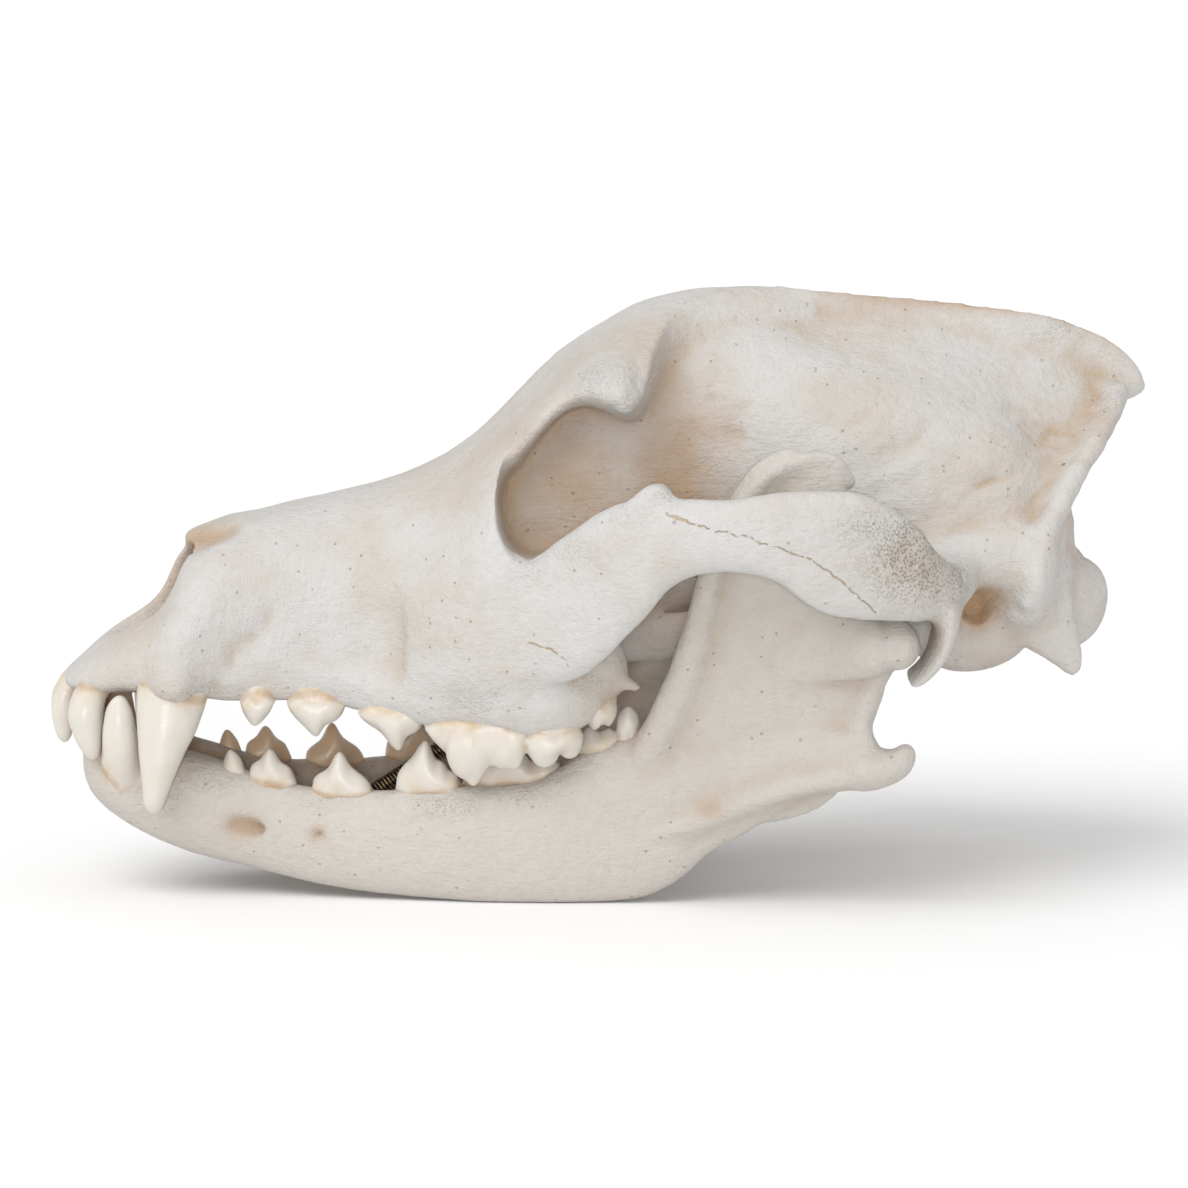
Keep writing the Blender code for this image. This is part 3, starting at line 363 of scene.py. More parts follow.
def window(outline, rows, size=72, count=36):
    """Closed smooth outline in x and height, carried along y. Each row is y, a shift along x, a
    rise and the scale about the outline's middle."""
    shape = np.array(outline, float)
    laps = np.vstack([shape[-3:], shape, shape[:3]])
    around = through(np.arange(len(laps)) - 3.0, laps, np.linspace(0, len(shape), size + 1)[:-1])
    table = np.array(rows, float)
    y = np.linspace(table[0, 0], table[-1, 0], count)
    shift, rise, scale = through(table[:, 0], table[:, 1:], y).T
    middle = shape.mean(0)
    flat = middle + (around - middle)[None] * scale[:, None, None]
    x = flat[..., 0] + shift[:, None]
    z = flat[..., 1] + rise[:, None]
    return loft(np.stack([x, np.broadcast_to(y[:, None], x.shape), z], -1))


def mirrored(surface, side):
    """The left-hand surface as it is, or flipped to the right."""
    points, quads, fans = surface
    return surface if side < 0 else (points * [1, -1, 1], quads[:, ::-1], fans[:, ::-1])


def both(surface):
    """The surface on the left and on the right."""
    return [mirrored(surface, side) for side in SIDES]


# Mesh steps

def mesh_object(name, surface, collection=None):
    """Object at the origin whose mesh is the surface, in metres."""
    points, quads, fans = surface
    mesh = bpy.data.meshes.new(name)
    placed = (points - ORIGIN) * MM
    mesh.from_pydata(placed.tolist(), [], quads.tolist() + fans.tolist())
    made = bpy.data.objects.new(name, mesh)
    (collection or bpy.context.scene.collection).objects.link(made)
    return made


def settle(target):
    """Applies the object's modifiers to its mesh."""
    graph = bpy.context.evaluated_depsgraph_get()
    made = bpy.data.meshes.new_from_object(target.evaluated_get(graph))
    target.modifiers.clear()
    old = target.data
    target.data = made
    bpy.data.meshes.remove(old)


def combine(target, surfaces, operation):
    """Joins the surfaces to the target, or cuts them out of it, in one Boolean."""
    pieces = bpy.data.collections.new("pieces")
    bpy.context.scene.collection.children.link(pieces)
    for number, surface in enumerate(surfaces):
        mesh_object(f"piece_{number}", surface, pieces)
    boolean = target.modifiers.new(operation.lower(), "BOOLEAN")
    boolean.operand_type = "COLLECTION"
    boolean.collection = pieces
    boolean.operation = operation
    boolean.solver = "MANIFOLD"
    settle(target)
    for one in list(pieces.objects):
        bpy.data.objects.remove(one)
    bpy.data.collections.remove(pieces)


def remesh(target, voxel):
    """Replaces the mesh by one closed skin of small even faces."""
    step = target.modifiers.new("voxels", "REMESH")
    step.mode = "VOXEL"
    step.voxel_size = voxel
    settle(target)


def thin_out(target, triangles):
    """Thins the mesh to so many triangles, where it has more."""
    now = sum(len(polygon.vertices) - 2 for polygon in target.data.polygons)
    if now > triangles:
        step = target.modifiers.new("thinned", "DECIMATE")
        step.ratio = triangles / now
        settle(target)


def points_of(mesh):
    """The mesh's points in millimetres, as the shapes are worked out."""
    flat = np.empty(len(mesh.vertices) * 3)
    mesh.vertices.foreach_get("co", flat)
    return flat.reshape(-1, 3) / MM + ORIGIN


def put_points(mesh, points):
    """Moves the mesh's points to these places in millimetres."""
    mesh.vertices.foreach_set("co", ((points - ORIGIN) * MM).ravel())
    mesh.update()


def normals_of(mesh):
    """The outward direction at each point."""
    flat = np.empty(len(mesh.vertices) * 3)
    mesh.vertex_normals.foreach_get("vector", flat)
    return flat.reshape(-1, 3)


class Links:
    """The mesh's edges, for averages over each point's neighbours."""

    def __init__(self, mesh):
        self.count = len(mesh.vertices)
        flat = np.empty(len(mesh.edges) * 2, np.int64)
        mesh.edges.foreach_get("vertices", flat)
        self.a, self.b = flat.reshape(-1, 2).T
        self.degree = np.maximum(np.bincount(flat, minlength=self.count), 1)[:, None]

    def average(self, values):
        """Sum of the neighbours' values over their number."""
        total = [
            np.bincount(self.a, values[self.b, k], self.count)
            + np.bincount(self.b, values[self.a, k], self.count)
            for k in range(values.shape[1])
        ]
        return np.stack(total, -1) / self.degree


def relax(target, passes, fill=0.6, wear=0.12):
    """Moves each point towards its neighbours: by fill where the surface is hollow, which
    rounds the creases where pieces meet, and only by wear on ridges and edges."""
    mesh = target.data
    links = Links(mesh)
    points = points_of(mesh)
    for _ in range(passes):
        pull = links.average(points) - points
        hollow = (pull * normals_of(mesh)).sum(1) > 0
        points += pull * np.where(hollow, fill, wear)[:, None]
        put_points(mesh, points)


def keep_largest(target):
    """Drops every closed surface but the one that spreads furthest."""
    mesh = target.data
    links = Links(mesh)
    label = np.arange(links.count)
    while True:
        low = np.minimum(label[links.a], label[links.b])
        new = label.copy()
        np.minimum.at(new, links.a, low)
        np.minimum.at(new, links.b, low)
        new = new[new]
        if (new == label).all():
            break
        label = new
    points = points_of(mesh)
    names = np.unique(label)
    if len(names) == 1:
        return
    spread = {name: np.ptp(points[label == name], axis=0).prod() for name in names}
    kept = label == max(spread, key=spread.get)
    index = np.cumsum(kept) - 1
    starts = np.empty(len(mesh.polygons), np.int64)
    totals = np.empty(len(mesh.polygons), np.int64)
    corners = np.empty(len(mesh.loops), np.int64)
    mesh.polygons.foreach_get("loop_start", starts)
    mesh.polygons.foreach_get("loop_total", totals)
    mesh.loops.foreach_get("vertex_index", corners)
    faces = []
    for sides in np.unique(totals):
        block = corners[starts[totals == sides][:, None] + np.arange(sides)]
        faces += index[block[kept[block[:, 0]]]].tolist()
    made = bpy.data.meshes.new(target.name)
    made.from_pydata(((points[kept] - ORIGIN) * MM).tolist(), [], faces)
    target.data = made
    bpy.data.meshes.remove(mesh)


def scatter(i, j, k, seed):
    """Whole numbers mixed to an even value from minus one to one."""
    h = (i * 73856093) ^ (j * 19349663) ^ (k * 83492791) ^ (seed * 2654435761)
    h = (h ^ (h >> 13)) * 1274126177 & 0xFFFFFFFF
    h = (h ^ (h >> 16)) * 2246822519 & 0xFFFFFFFF
    return (h ^ (h >> 15)) / 2147483648.0 - 1.0


def lumps(points, size, seed):
    """Smooth random value: the eight corners of the cube that holds the point, blended by the
    smooth step of its place between them."""
    scaled = points / np.asarray(size, float)
    base = np.floor(scaled).astype(np.int64)
    t = scaled - base
    t = t * t * (3 - 2 * t)
    total = np.zeros(len(points))
    for corner in range(8):
        step = np.array([corner & 1, corner >> 1 & 1, corner >> 2 & 1])
        weight = np.where(step == 1, t, 1 - t).prod(1)
        total += weight * scatter(*(base + step).T, seed)
    return total


def near(points, spots):
    """Largest of the spots: strength times e to the minus squared distance, where the distance
    is in shares of the spot's radii and both sides count alike. Each row is x, y, z, three radii
    and a strength."""
    best = np.zeros(len(points))
    for x, y, z, rx, ry, rz, strength in spots:
        away = (points[:, 0] - x) ** 2 / rx**2 + (points[:, 2] - z) ** 2 / rz**2
        away += (np.abs(points[:, 1]) - abs(y)) ** 2 / ry**2
        best = np.maximum(best, strength * np.exp(-away))
    return best


def folded(points):
    """The points with both sides laid on one, so that y is the distance from the middle."""
    return points * [1, 0, 1] + np.abs(points) * [0, 1, 0]


def along_line(points, line, width):
    """e to the minus squared distance, in widths, to the nearest part of a line of points, where
    both sides count alike."""
    p, path = folded(points), folded(np.array(line, float))
    best = np.full(len(points), 1e9)
    for a, b in zip(path[:-1], path[1:]):
        t = np.clip(((p - a) @ (b - a)) / ((b - a) @ (b - a)), 0, 1)
        best = np.minimum(best, ((p - a - t[:, None] * (b - a)) ** 2).sum(1))
    return np.exp(-best / width**2)


def hollowness(mesh, passes, depth):
    """How far the surface averaged over so many passes stands outside the point, in depths."""
    links = Links(mesh)
    points = points_of(mesh)
    smooth = points.copy()
    for _ in range(passes):
        smooth = links.average(smooth)
    return np.clip(((smooth - points) * normals_of(mesh)).sum(1) / depth, -1, 1)


def give(mesh, name, values):
    """Stores one value a point, which the materials read."""
    layer = mesh.attributes.new(name, "FLOAT", "POINT")
    layer.data.foreach_set("value", np.asarray(values, np.float32))


def dress(target, made, nodes=()):
    """Material, smooth faces, body, slot and the solids that the piece stands for."""
    target.data.materials.clear()
    target.data.materials.append(made)
    target.data.polygons.foreach_set("use_smooth", np.ones(len(target.data.polygons), bool))
    target.data.update()
    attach(target, BODY)
    if nodes:
        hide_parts(*nodes)


# Bone of the cranium

def muzzle():
    """Upper jaw and nose: low and round at the incisors, boxy along the nose, wide at the cheeks."""
    cheek = mm(sizes().cheek_half_width)
    nose = mm(sizes().muzzle_half_width)
    return hull_along_x(
        [
            (-112.6, 47.2, 45.0, 5.5, 46.0, 2.0, 2.4),
            (-110.0, 49.3, 44.4, 11.0, 46.2, 2.2, 3.0),
            (-106.0, 52.6, 44.0, 14.2, 47.0, 2.4, 3.4),
            (-101.0, 56.6, 44.0, 16.4, 48.5, 2.5, 3.4),
            (-97.0, 59.2, 44.2, 18.2, 50.0, 2.6, 3.4),
            (-92.5, 62.5, 44.0, 20.5, 52.0, 2.6, 3.6),
            (-88.0, 71.0, 43.2, 21.8, 54.0, 2.5, 4.0),
            (-82.0, 77.0, 42.9, 21.5, 56.0, 2.5, 4.4),
            (-74.0, 80.0, 42.9, nose, 57.0, 2.5, 4.4),
            (-56.0, 84.5, 42.3, nose, 57.0, 2.4, 4.4),
            (-46.0, 86.6, 40.2, 23.0, 57.0, 2.3, 4.2),
            (-38.0, 89.3, 38.8, 29.6, 58.0, 2.1, 4.0),
            (-30.0, 93.0, 38.2, 35.0, 60.0, 2.2, 3.8),
            (-22.0, 98.5, 37.2, cheek, 63.0, 2.6, 3.6),
            (-14.0, 105.0, 37.0, cheek + 1.0, 66.0, 3.0, 3.2),
            (-6.0, 110.0, 40.5, cheek, 70.0, 3.2, 2.4),
            (0.0, 113.0, 50.0, 32.0, 74.0, 3.2, 2.0),
            (5.0, 116.0, 60.0, 22.0, 80.0, 3.0, 2.0),
        ],
        count=110,
        size=80,
    )


def core():
    """Braincase behind, and before it the narrow wall between the two eye sockets."""
    wide = mm(sizes().braincase_half_width)
    return hull_along_x(
        [
            (-45.0, 84.0, 50.0, 15.0, 66.0, 2.2, 2.2),
            (-25.0, 94.0, 51.0, 17.0, 72.0, 2.3, 2.2),
            (-10.0, 106.0, 51.0, 17.0, 78.0, 2.4, 2.0),
            (5.0, 117.5, 53.0, 18.0, 84.0, 2.5, 1.9),
            (16.0, 124.0, 56.0, 19.0, 88.0, 2.3, 1.8),
            (26.0, 125.0, 57.5, 21.5, 88.0, 1.9, 1.8),
            (36.0, 122.5, 58.0, 25.5, 86.0, 1.85, 1.9),
            (48.0, 118.0, 57.0, 29.0, 85.0, 2.0, 2.0),
            (62.0, 115.0, 55.0, wide, 83.0, 2.0, 2.1),
            (76.0, 111.0, 53.0, wide, 80.0, 2.0, 2.2),
            (88.0, 105.0, 51.5, 29.5, 76.0, 2.1, 2.3),
            (96.0, 97.0, 51.5, 25.0, 72.0, 2.1, 2.3),
            (101.0, 84.0, 53.5, 16.0, 68.0, 2.1, 2.2),
        ],
        count=110,
        size=72,
    )


def forehead():
    """Frontal bone: a shield that widens to the two brow processes behind the eye sockets."""
    return hull_along_x(
        [
            (-26.0, 95.0, 86.0, 19.0, 89.0, 2.4, 2.0),
            (-18.0, 102.0, 90.0, 23.5, 96.0, 2.6, 2.0),
            (-10.0, 109.8, 100.5, 24.8, 105.0, 2.4, 2.0),
            (-4.0, 115.2, 104.5, 28.0, 108.6, 2.2, 2.0),
            (0.5, 118.7, 103.5, 32.0, 108.2, 2.0, 2.2),
            (4.0, 121.0, 101.5, 32.5, 107.5, 1.9, 2.2),
            (7.0, 123.0, 99.0, 28.0, 109.0, 1.9, 2.0),
            (10.5, 124.7, 98.0, 22.5, 113.0, 1.9, 1.6),
            (15.0, 126.2, 100.0, 15.5, 117.0, 1.9, 1.5),
            (20.0, 127.3, 103.0, 11.5, 119.0, 1.8, 1.5),
            (28.0, 128.0, 106.0, 9.0, 120.0, 1.7, 1.5),
            (36.0, 128.0, 110.0, 7.0, 121.0, 1.5, 1.5),
            (46.0, 126.5, 115.0, 4.0, 121.0, 1.5, 1.8),
        ],
        count=90,
        size=56,
    )


# Top of the crest: x and height
CREST_LINE = [
    (30.0, 125.5), (37.0, 127.8), (48.0, 127.0), (60.0, 126.0), (76.0, 124.0),
    (90.0, 122.0), (100.0, 120.0), (107.0, 117.0), (112.0, 112.8), (113.8, 107.5),
]


def sagittal_crest():
    """Keel along the top of the braincase: a thin plate on a flared foot."""
    foot = hull_along_x(
        [
            (30.0, 125.0, 110.0, 9.0, 115.0, 1.2, 2.0),
            (46.0, 124.2, 103.0, 19.5, 107.5, 1.0, 2.0),
            (60.0, 123.5, 98.0, 21.8, 104.8, 1.0, 2.0),
            (76.0, 120.5, 94.0, 22.4, 101.0, 1.0, 2.0),
            (90.0, 117.5, 86.0, 21.5, 93.0, 1.0, 2.0),
            (102.0, 114.0, 88.0, 15.5, 92.0, 1.05, 2.0),
            (109.0, 109.0, 96.0, 6.5, 99.0, 1.2, 2.0),
            (112.0, 106.0, 100.0, 4.0, 102.0, 1.6, 2.0),
        ],
        count=60,
        size=40,
    )
    rows = [(x, 0.0, z - 5.0, 1.7, 5.0) for x, z in CREST_LINE]
    return [foot, limb(rows, count=70, size=24, square=2.6)]


# Edge of the back wall, from the top down
NUCHAL_EDGE = [
    (112.0, -3.5, 106.5), (109.0, -10.5, 101.0), (104.5, -17.5, 96.0), (99.5, -23.5, 90.0),
    (94.5, -29.0, 83.0), (90.5, -33.0, 76.0), (89.0, -34.5, 69.0), (88.5, -33.5, 62.0),
]


def nuchal_shield():
    """Back wall of the skull: level slices whose rim follows the nuchal crest, bulged to the
    rear by the sine of the way round."""
    edge = np.array(NUCHAL_EDGE[::-1])
    levels = np.linspace(54.0, 107.0, 60)
    x, y = through(edge[:, 2], edge[:, :2], np.clip(levels, edge[0, 2], edge[-1, 2])).T
    y = -y * np.clip((levels - 50) / 10, 0, 1) ** 0.5
    bulge = through([54.0, 62.0, 69.0, 76.0, 83.0, 96.0, 107.0], [4, 11, 13, 9, 6, 4.5, 1.5], levels)
    turn = np.linspace(0, 2 * math.pi, 64, endpoint=False)
    c, s = np.cos(turn), np.sin(turn)
    ring_x = x[:, None] + np.where(s > 0, bulge, 12.0) * s[None]
    ring_y = y[:, None] * power(c, 0.9)[None]
    ring_z = np.broadcast_to(levels[:, None], ring_x.shape)
    return loft(np.stack([ring_x, ring_y, ring_z], -1))


def nuchal_rim():
    """Round bead along the edge of the back wall."""
    radius = [2.6, 2.4, 2.3, 2.3, 2.5, 2.8, 3.2, 2.6]
    return limb([(*point, r, r) for point, r in zip(NUCHAL_EDGE, radius)], count=60, size=20)


def zygomatic_arch():
    """Cheek arch from the upper jaw, out round the coronoid process and back to the ear."""
    out = -mm(sizes().arch_half_width)
    return limb(
        [
            (-24.0, -31.0, 60.0, 5.0, 10.0),
            (-13.0, -36.5, 62.0, 4.6, 13.0),
            (-3.0, out + 15.0, 71.0, 4.2, 12.5),
            (6.0, out + 9.5, 79.5, 4.0, 10.5),
            (15.0, out + 6.0, 82.0, 3.8, 8.2),
            (25.0, out + 3.7, 82.5, 3.6, 7.8),
            (35.0, out + 2.8, 82.2, 3.4, 9.8),
            (46.0, out + 3.2, 78.5, 3.4, 13.0),
            (56.0, out + 5.5, 74.5, 3.8, 11.2),
            (64.0, out + 9.5, 70.5, 5.0, 7.4),
            (68.0, -42.0, 69.0, 6.5, 5.4),
            (69.5, -35.0, 70.5, 8.0, 5.8),
            (70.0, -25.0, 74.0, 9.0, 7.0),
        ],
        count=90,
        size=40,
        square=2.3,
    )


def cranium_growths():
    """Left-hand pieces that stand on the main forms: brow, tooth roots, ear and skull base."""
    orbital_bump = limb(
        [(5.0, -48.0, 84.0, 6.0, 3.2), (8.5, -49.5, 89.5, 4.0, 2.8), (10.5, -50.5, 92.5, 2.8, 2.4)],
        up=(0, 1, 0),
    )
    canine_root = limb(
        [
            (-91.6, -17.2, 42.4, 5.6, 6.4),
            (-90.2, -17.0, 47.0, 5.8, 6.6),
            (-88.0, -17.0, 55.0, 6.3, 6.2),
            (-82.0, -16.0, 63.0, 5.5, 5.5),
            (-74.0, -14.0, 69.0, 4.0, 4.0),
        ],
        up=(0, 1, 0),
    )
    bulla = ball((78.0, -19.0, 57.5), (14.0, 9.5, 10.0), lean=-6)
    ear_lip = tube((77.0, -22.0, 62.6, 6.4), (78.2, -30.8, 62.6, 5.8))
    mastoid = limb(
        [(90.0, -32.0, 77.0, 5.0, 4.0), (89.8, -32.0, 70.0, 4.2, 4.4), (89.4, -31.0, 63.4, 2.6, 3.2)],
        up=(0, 1, 0),
    )
    ear_roof = limb(
        [
            (62.0, -36.0, 71.0, 5.0, 5.0),
            (72.0, -32.0, 73.0, 5.0, 5.5),
            (82.0, -30.5, 74.0, 5.0, 7.0),
            (91.0, -30.0, 74.0, 4.6, 8.0),
        ]
    )
    jugular = limb(
        [
            (90.5, -25.0, 66.0, 4.6, 8.6),
            (92.4, -25.6, 59.5, 3.6, 7.4),
            (96.2, -26.0, 54.0, 2.6, 4.8),
            (98.5, -26.0, 50.0, 1.9, 2.9),
            (99.2, -25.8, 47.2, 1.3, 1.8),
        ],
        up=(1, 0, 0),
    )
    joint_hook = limb(
        [
            (69.6, -43.0, 68.0, 9.5, 3.4),
            (69.2, -43.0, 61.0, 8.8, 2.5),
            (67.0, -42.5, 54.8, 7.4, 1.9),
            (64.0, -42.0, 51.0, 5.6, 1.5),
            (61.2, -41.6, 49.6, 4.2, 1.2),
        ],
        up=(1, 0, 0),
    )
    neck_joint = ball((100.0, -12.5, 61.0), (8.5, 7.5, 10.5), lean=18)
    palate_edge = limb(
        [
            (-8.0, -10.0, 53.0, 2.2, 5.0),
            (10.0, -10.5, 54.0, 1.9, 5.0),
            (24.0, -11.0, 56.0, 1.9, 5.0),
            (36.0, -11.5, 58.0, 1.9, 5.0),
            (40.0, -11.5, 54.0, 1.6, 3.5),
        ]
    )
    tooth_ledge = ball((-3.0, -28.0, 51.0), (7.5, 6.5, 8.5))
    spine = tube((1.0, -30.0, 49.5, 2.2), (4.5, -31.0, 48.0, 1.4), (7.2, -31.5, 47.2, 0.9))
    nasal_tip = limb(
        [(-66.0, -4.6, 78.6, 5.0, 2.8), (-77.0, -5.0, 77.6, 4.6, 2.0), (-86.8, -5.2, 74.2, 3.6, 1.7)]
    )
    return [
        orbital_bump, canine_root, bulla, ear_lip, mastoid, ear_roof, jugular, joint_hook,
        neck_joint, palate_edge, tooth_ledge, spine, nasal_tip, upper_tooth_ridge(),
        zygomatic_arch(), nuchal_rim(),
    ]


def upper_tooth_ridge():
    """Rim of bone that holds the upper cheek teeth."""
    return limb(
        [
            (-84.0, -15.6, 49.2, 3.6, 6.0),
            (-72.0, -16.4, 49.2, 3.0, 6.2),
            (-60.0, -17.2, 48.9, 3.2, 6.2),
            (-51.0, -18.8, 47.6, 3.4, 6.4),
            (-44.0, -20.8, 46.4, 3.6, 6.9),
            (-36.0, -24.8, 45.8, 4.0, 7.3),
            (-28.0, -28.6, 45.6, 4.4, 7.3),
            (-20.0, -31.4, 45.4, 4.8, 7.8),
            (-12.0, -31.8, 44.8, 4.9, 7.9),
            (-6.0, -31.0, 46.4, 4.6, 6.9),
            (0.0, -29.6, 48.6, 4.0, 4.6),
        ],
        count=80,
        size=28,
    )


def occipital_keel():
    """Rounded ridge down the middle of the back wall."""
    return tube(
        (109.0, 0.0, 101.0, 3.2), (103.0, 0.0, 92.0, 3.5), (99.0, 0.0, 83.0, 4.0),
        (97.5, 0.0, 77.0, 5.5), (101.0, 0.0, 71.0, 6.0),
        up=(1, 0, 0),
    )


# Rim of the left eye socket: x and height
EYE_RIM = [
    (-7.0, 110.2), (-15.0, 107.2), (-20.2, 99.8), (-23.0, 90.5), (-23.2, 82.6), (-20.0, 75.6),
    (-13.0, 73.8), (-4.0, 77.0), (6.0, 83.0), (13.0, 91.0), (14.5, 100.0), (9.0, 107.0),
    (1.0, 110.4),
]


def eye_socket():
    """Hollow for the eye: the rim's outline, carried in to the wall between the two sockets."""
    return window(EYE_RIM, [
        (-64.0, 4.0, 0.0, 1.02), (-38.0, 0.3, 0.0, 1.0), (-26.0, 0.6, -0.4, 0.98),
        (-10.5, 2.6, -1.5, 0.90),
    ])


def cranium_hollows():
    """Air ways, brain case, palate, ears, jaw joints, the gaps before the canines and the notch
    of the left nasal bone."""
    nose = hull_along_x(
        [
            (-118.0, 74.0, 55.0, 6.6, 62.0, 2.4, 2.2),
            (-100.0, 74.0, 55.0, 6.9, 63.0, 2.4, 2.2),
            (-86.0, 73.5, 54.5, 8.6, 64.0, 2.4, 2.2),
            (-76.0, 74.5, 54.5, 9.0, 64.5, 2.4, 2.2),
            (-68.0, 70.0, 59.0, 5.0, 65.0, 2.4, 2.2),
        ],
        count=50,
        size=48,
    )
    brain = hull_along_x(
        [
            (17.0, 106.0, 77.0, 8.0, 91.0, 2.0, 2.0),
            (26.0, 112.0, 66.0, 16.0, 88.0, 2.0, 2.0),
            (36.0, 115.0, 61.5, 22.3, 86.0, 2.0, 2.0),
            (48.0, 115.0, 59.8, 26.4, 85.0, 2.0, 2.1),
            (62.0, 112.5, 58.2, 28.5, 83.0, 2.0, 2.1),
            (74.0, 108.8, 57.4, 28.5, 80.0, 2.0, 2.1),
            (84.0, 104.0, 56.4, 27.2, 77.0, 2.0, 2.2),
            (91.0, 98.5, 55.4, 23.8, 73.0, 2.0, 2.2),
            (96.0, 87.0, 55.0, 18.0, 68.0, 2.1, 2.2),
            (99.5, 70.0, 54.0, 9.8, 62.0, 2.1, 2.2),
            (116.0, 69.0, 53.0, 10.0, 61.0, 2.1, 2.2),
        ],
        count=60,
        size=40,
    )
    palate = hull_along_x(
        [
            (-104.0, 46.0, 38.0, 5.0, 40.0, 2.0, 2.0),
            (-90.0, 48.0, 34.0, 11.0, 40.0, 2.2, 2.0),
            (-60.0, 48.0, 32.0, 14.8, 40.0, 2.6, 2.0),
            (-36.0, 46.5, 30.0, 19.0, 38.0, 2.6, 2.0),
            (-14.0, 45.5, 30.0, 21.0, 37.0, 2.2, 2.0),
            (6.0, 48.0, 30.0, 22.0, 38.0, 2.2, 2.0),
        ],
        count=50,
        size=48,
    )
    choana = hull_along_x(
        [
            (-16.0, 54.0, 51.0, 4.0, 52.5, 2.4, 2.4),
            (-4.0, 57.0, 49.5, 7.8, 52.5, 2.4, 2.4),
            (10.0, 58.5, 44.0, 8.4, 52.0, 2.4, 2.4),
            (40.0, 60.5, 44.0, 8.8, 52.0, 2.4, 2.4),
        ],
        count=30,
        size=32,
    )
    ear_canal = tube((78.2, -46.0, 63.4, 4.1), (77.6, -25.0, 62.8, 3.4), blunt=0.6)
    nape = ball((107.0, -12.5, 84.0), (6.5, 7.5, 12.5), lean=-24)
    jaw_joint = tube((58.8, -66.0, 58.0, 6.2), (58.8, -27.0, 58.0, 6.2), blunt=0.2)
    canine_notch = ball((-101.2, -16.4, 42.6), (4.0, 4.2, 3.9))
    palate_slot = ball((-89.0, -4.2, 46.0), (6.0, 2.0, 8.0))
    nasal_notch = limb([(-93.0, -7.6, 73.0, 6.6, 3.0), (-75.0, -7.6, 80.4, 6.6, 3.0)], blunt=0.5)
    cuts = [nose, brain, palate, choana, nasal_notch]
    for one in [ear_canal, nape, jaw_joint, canine_notch, palate_slot]:
        cuts += both(one)
    return cuts


# Ridge from the brow process up to the crest
TEMPLE_LINE = [
    (4.0, -31.0, 106.0), (6.9, -28.0, 109.0), (10.3, -22.0, 117.0), (14.0, -14.0, 122.5),
    (20.0, -9.0, 126.0), (28.0, -5.0, 127.5),
]

# Granular spots, and spots of real stain and painted shade, each as the function near takes it
ROUGH_BONE = [
    (-2.0, -27, 112, 9, 9, 7, 0.6), (4.0, -31, 105, 6, 6, 6, 0.6), (-16.0, -27, 98, 4, 7, 10, 0.6),
    (-16.0, -36, 73, 7, 7, 4, 0.5), (-5.0, -43, 78, 9, 6, 4, 0.5), (6.0, -48, 86, 8, 6, 4, 0.55),
    (11.0, -51, 91, 6, 6, 4, 0.6), (60.0, -52, 77, 14, 8, 11, 1.3), (68.0, -46, 72, 9, 8, 9, 1.1),
    (50.0, -55, 84, 9, 6, 5, 0.8), (-84.0, -21, 45, 9, 6, 5, 0.6), (-28.0, -34, 46, 16, 7, 8, 0.5),
    (-62.0, -22, 45, 16, 7, 3.5, 0.45), (-6.0, -33, 50, 8, 8, 8, 0.5), (100.0, 0, 118, 16, 4, 5, 0.5),
    (70.0, 0, 125, 22, 4, 3, 0.4), (109.0, -9, 103, 8, 9, 9, 0.45), (92.0, -31, 76, 6, 7, 14, 0.4),
    (88.0, -32, 62, 5, 6, 8, 0.4),
]

# Spots of real stain and of painted shade: the eye sockets, the hollow behind the brow process, behind
# the last molar, under the skull and inside the braincase are tinted as shade
CRANIUM_STAIN_AND_SHADE_SPOTS = [
    (-6.0, -18, 90, 17, 10, 16, 0.75), (15.0, -19, 92, 13, 9, 24, 0.9), (2.0, -20, 74, 20, 9, 14, 0.7),
    (78.0, -30, 63.0, 5, 8, 5, 1.6), (67.0, -40, 60, 6, 8, 5, 0.8), (4.0, -24, 44, 8, 10, 7, 0.9),
    (20.0, -12, 60, 26, 14, 8, 0.5), (-90.0, 0, 64, 28, 11, 9, 0.8), (-60.0, 0, 44, 50, 14, 6, 0.35),
    (82.0, -20, 50, 14, 10, 6, 0.35), (112.0, 0, 62, 10, 12, 8, 0.8), (60.0, 0, 80, 45, 20, 22, 0.9),
    (80.0, 0, 124, 30, 4, 3, 0.4), (106.0, -10, 100, 6, 12, 6, 0.35), (90.0, -26, 66, 6, 6, 8, 0.5),
    (-80.0, -1.5, 74.5, 9, 4.5, 3.2, 1.0), (96.0, -22, 58, 5, 5, 7, 0.35),
    (-90.0, -21, 46, 5, 5, 5, 0.4),
]

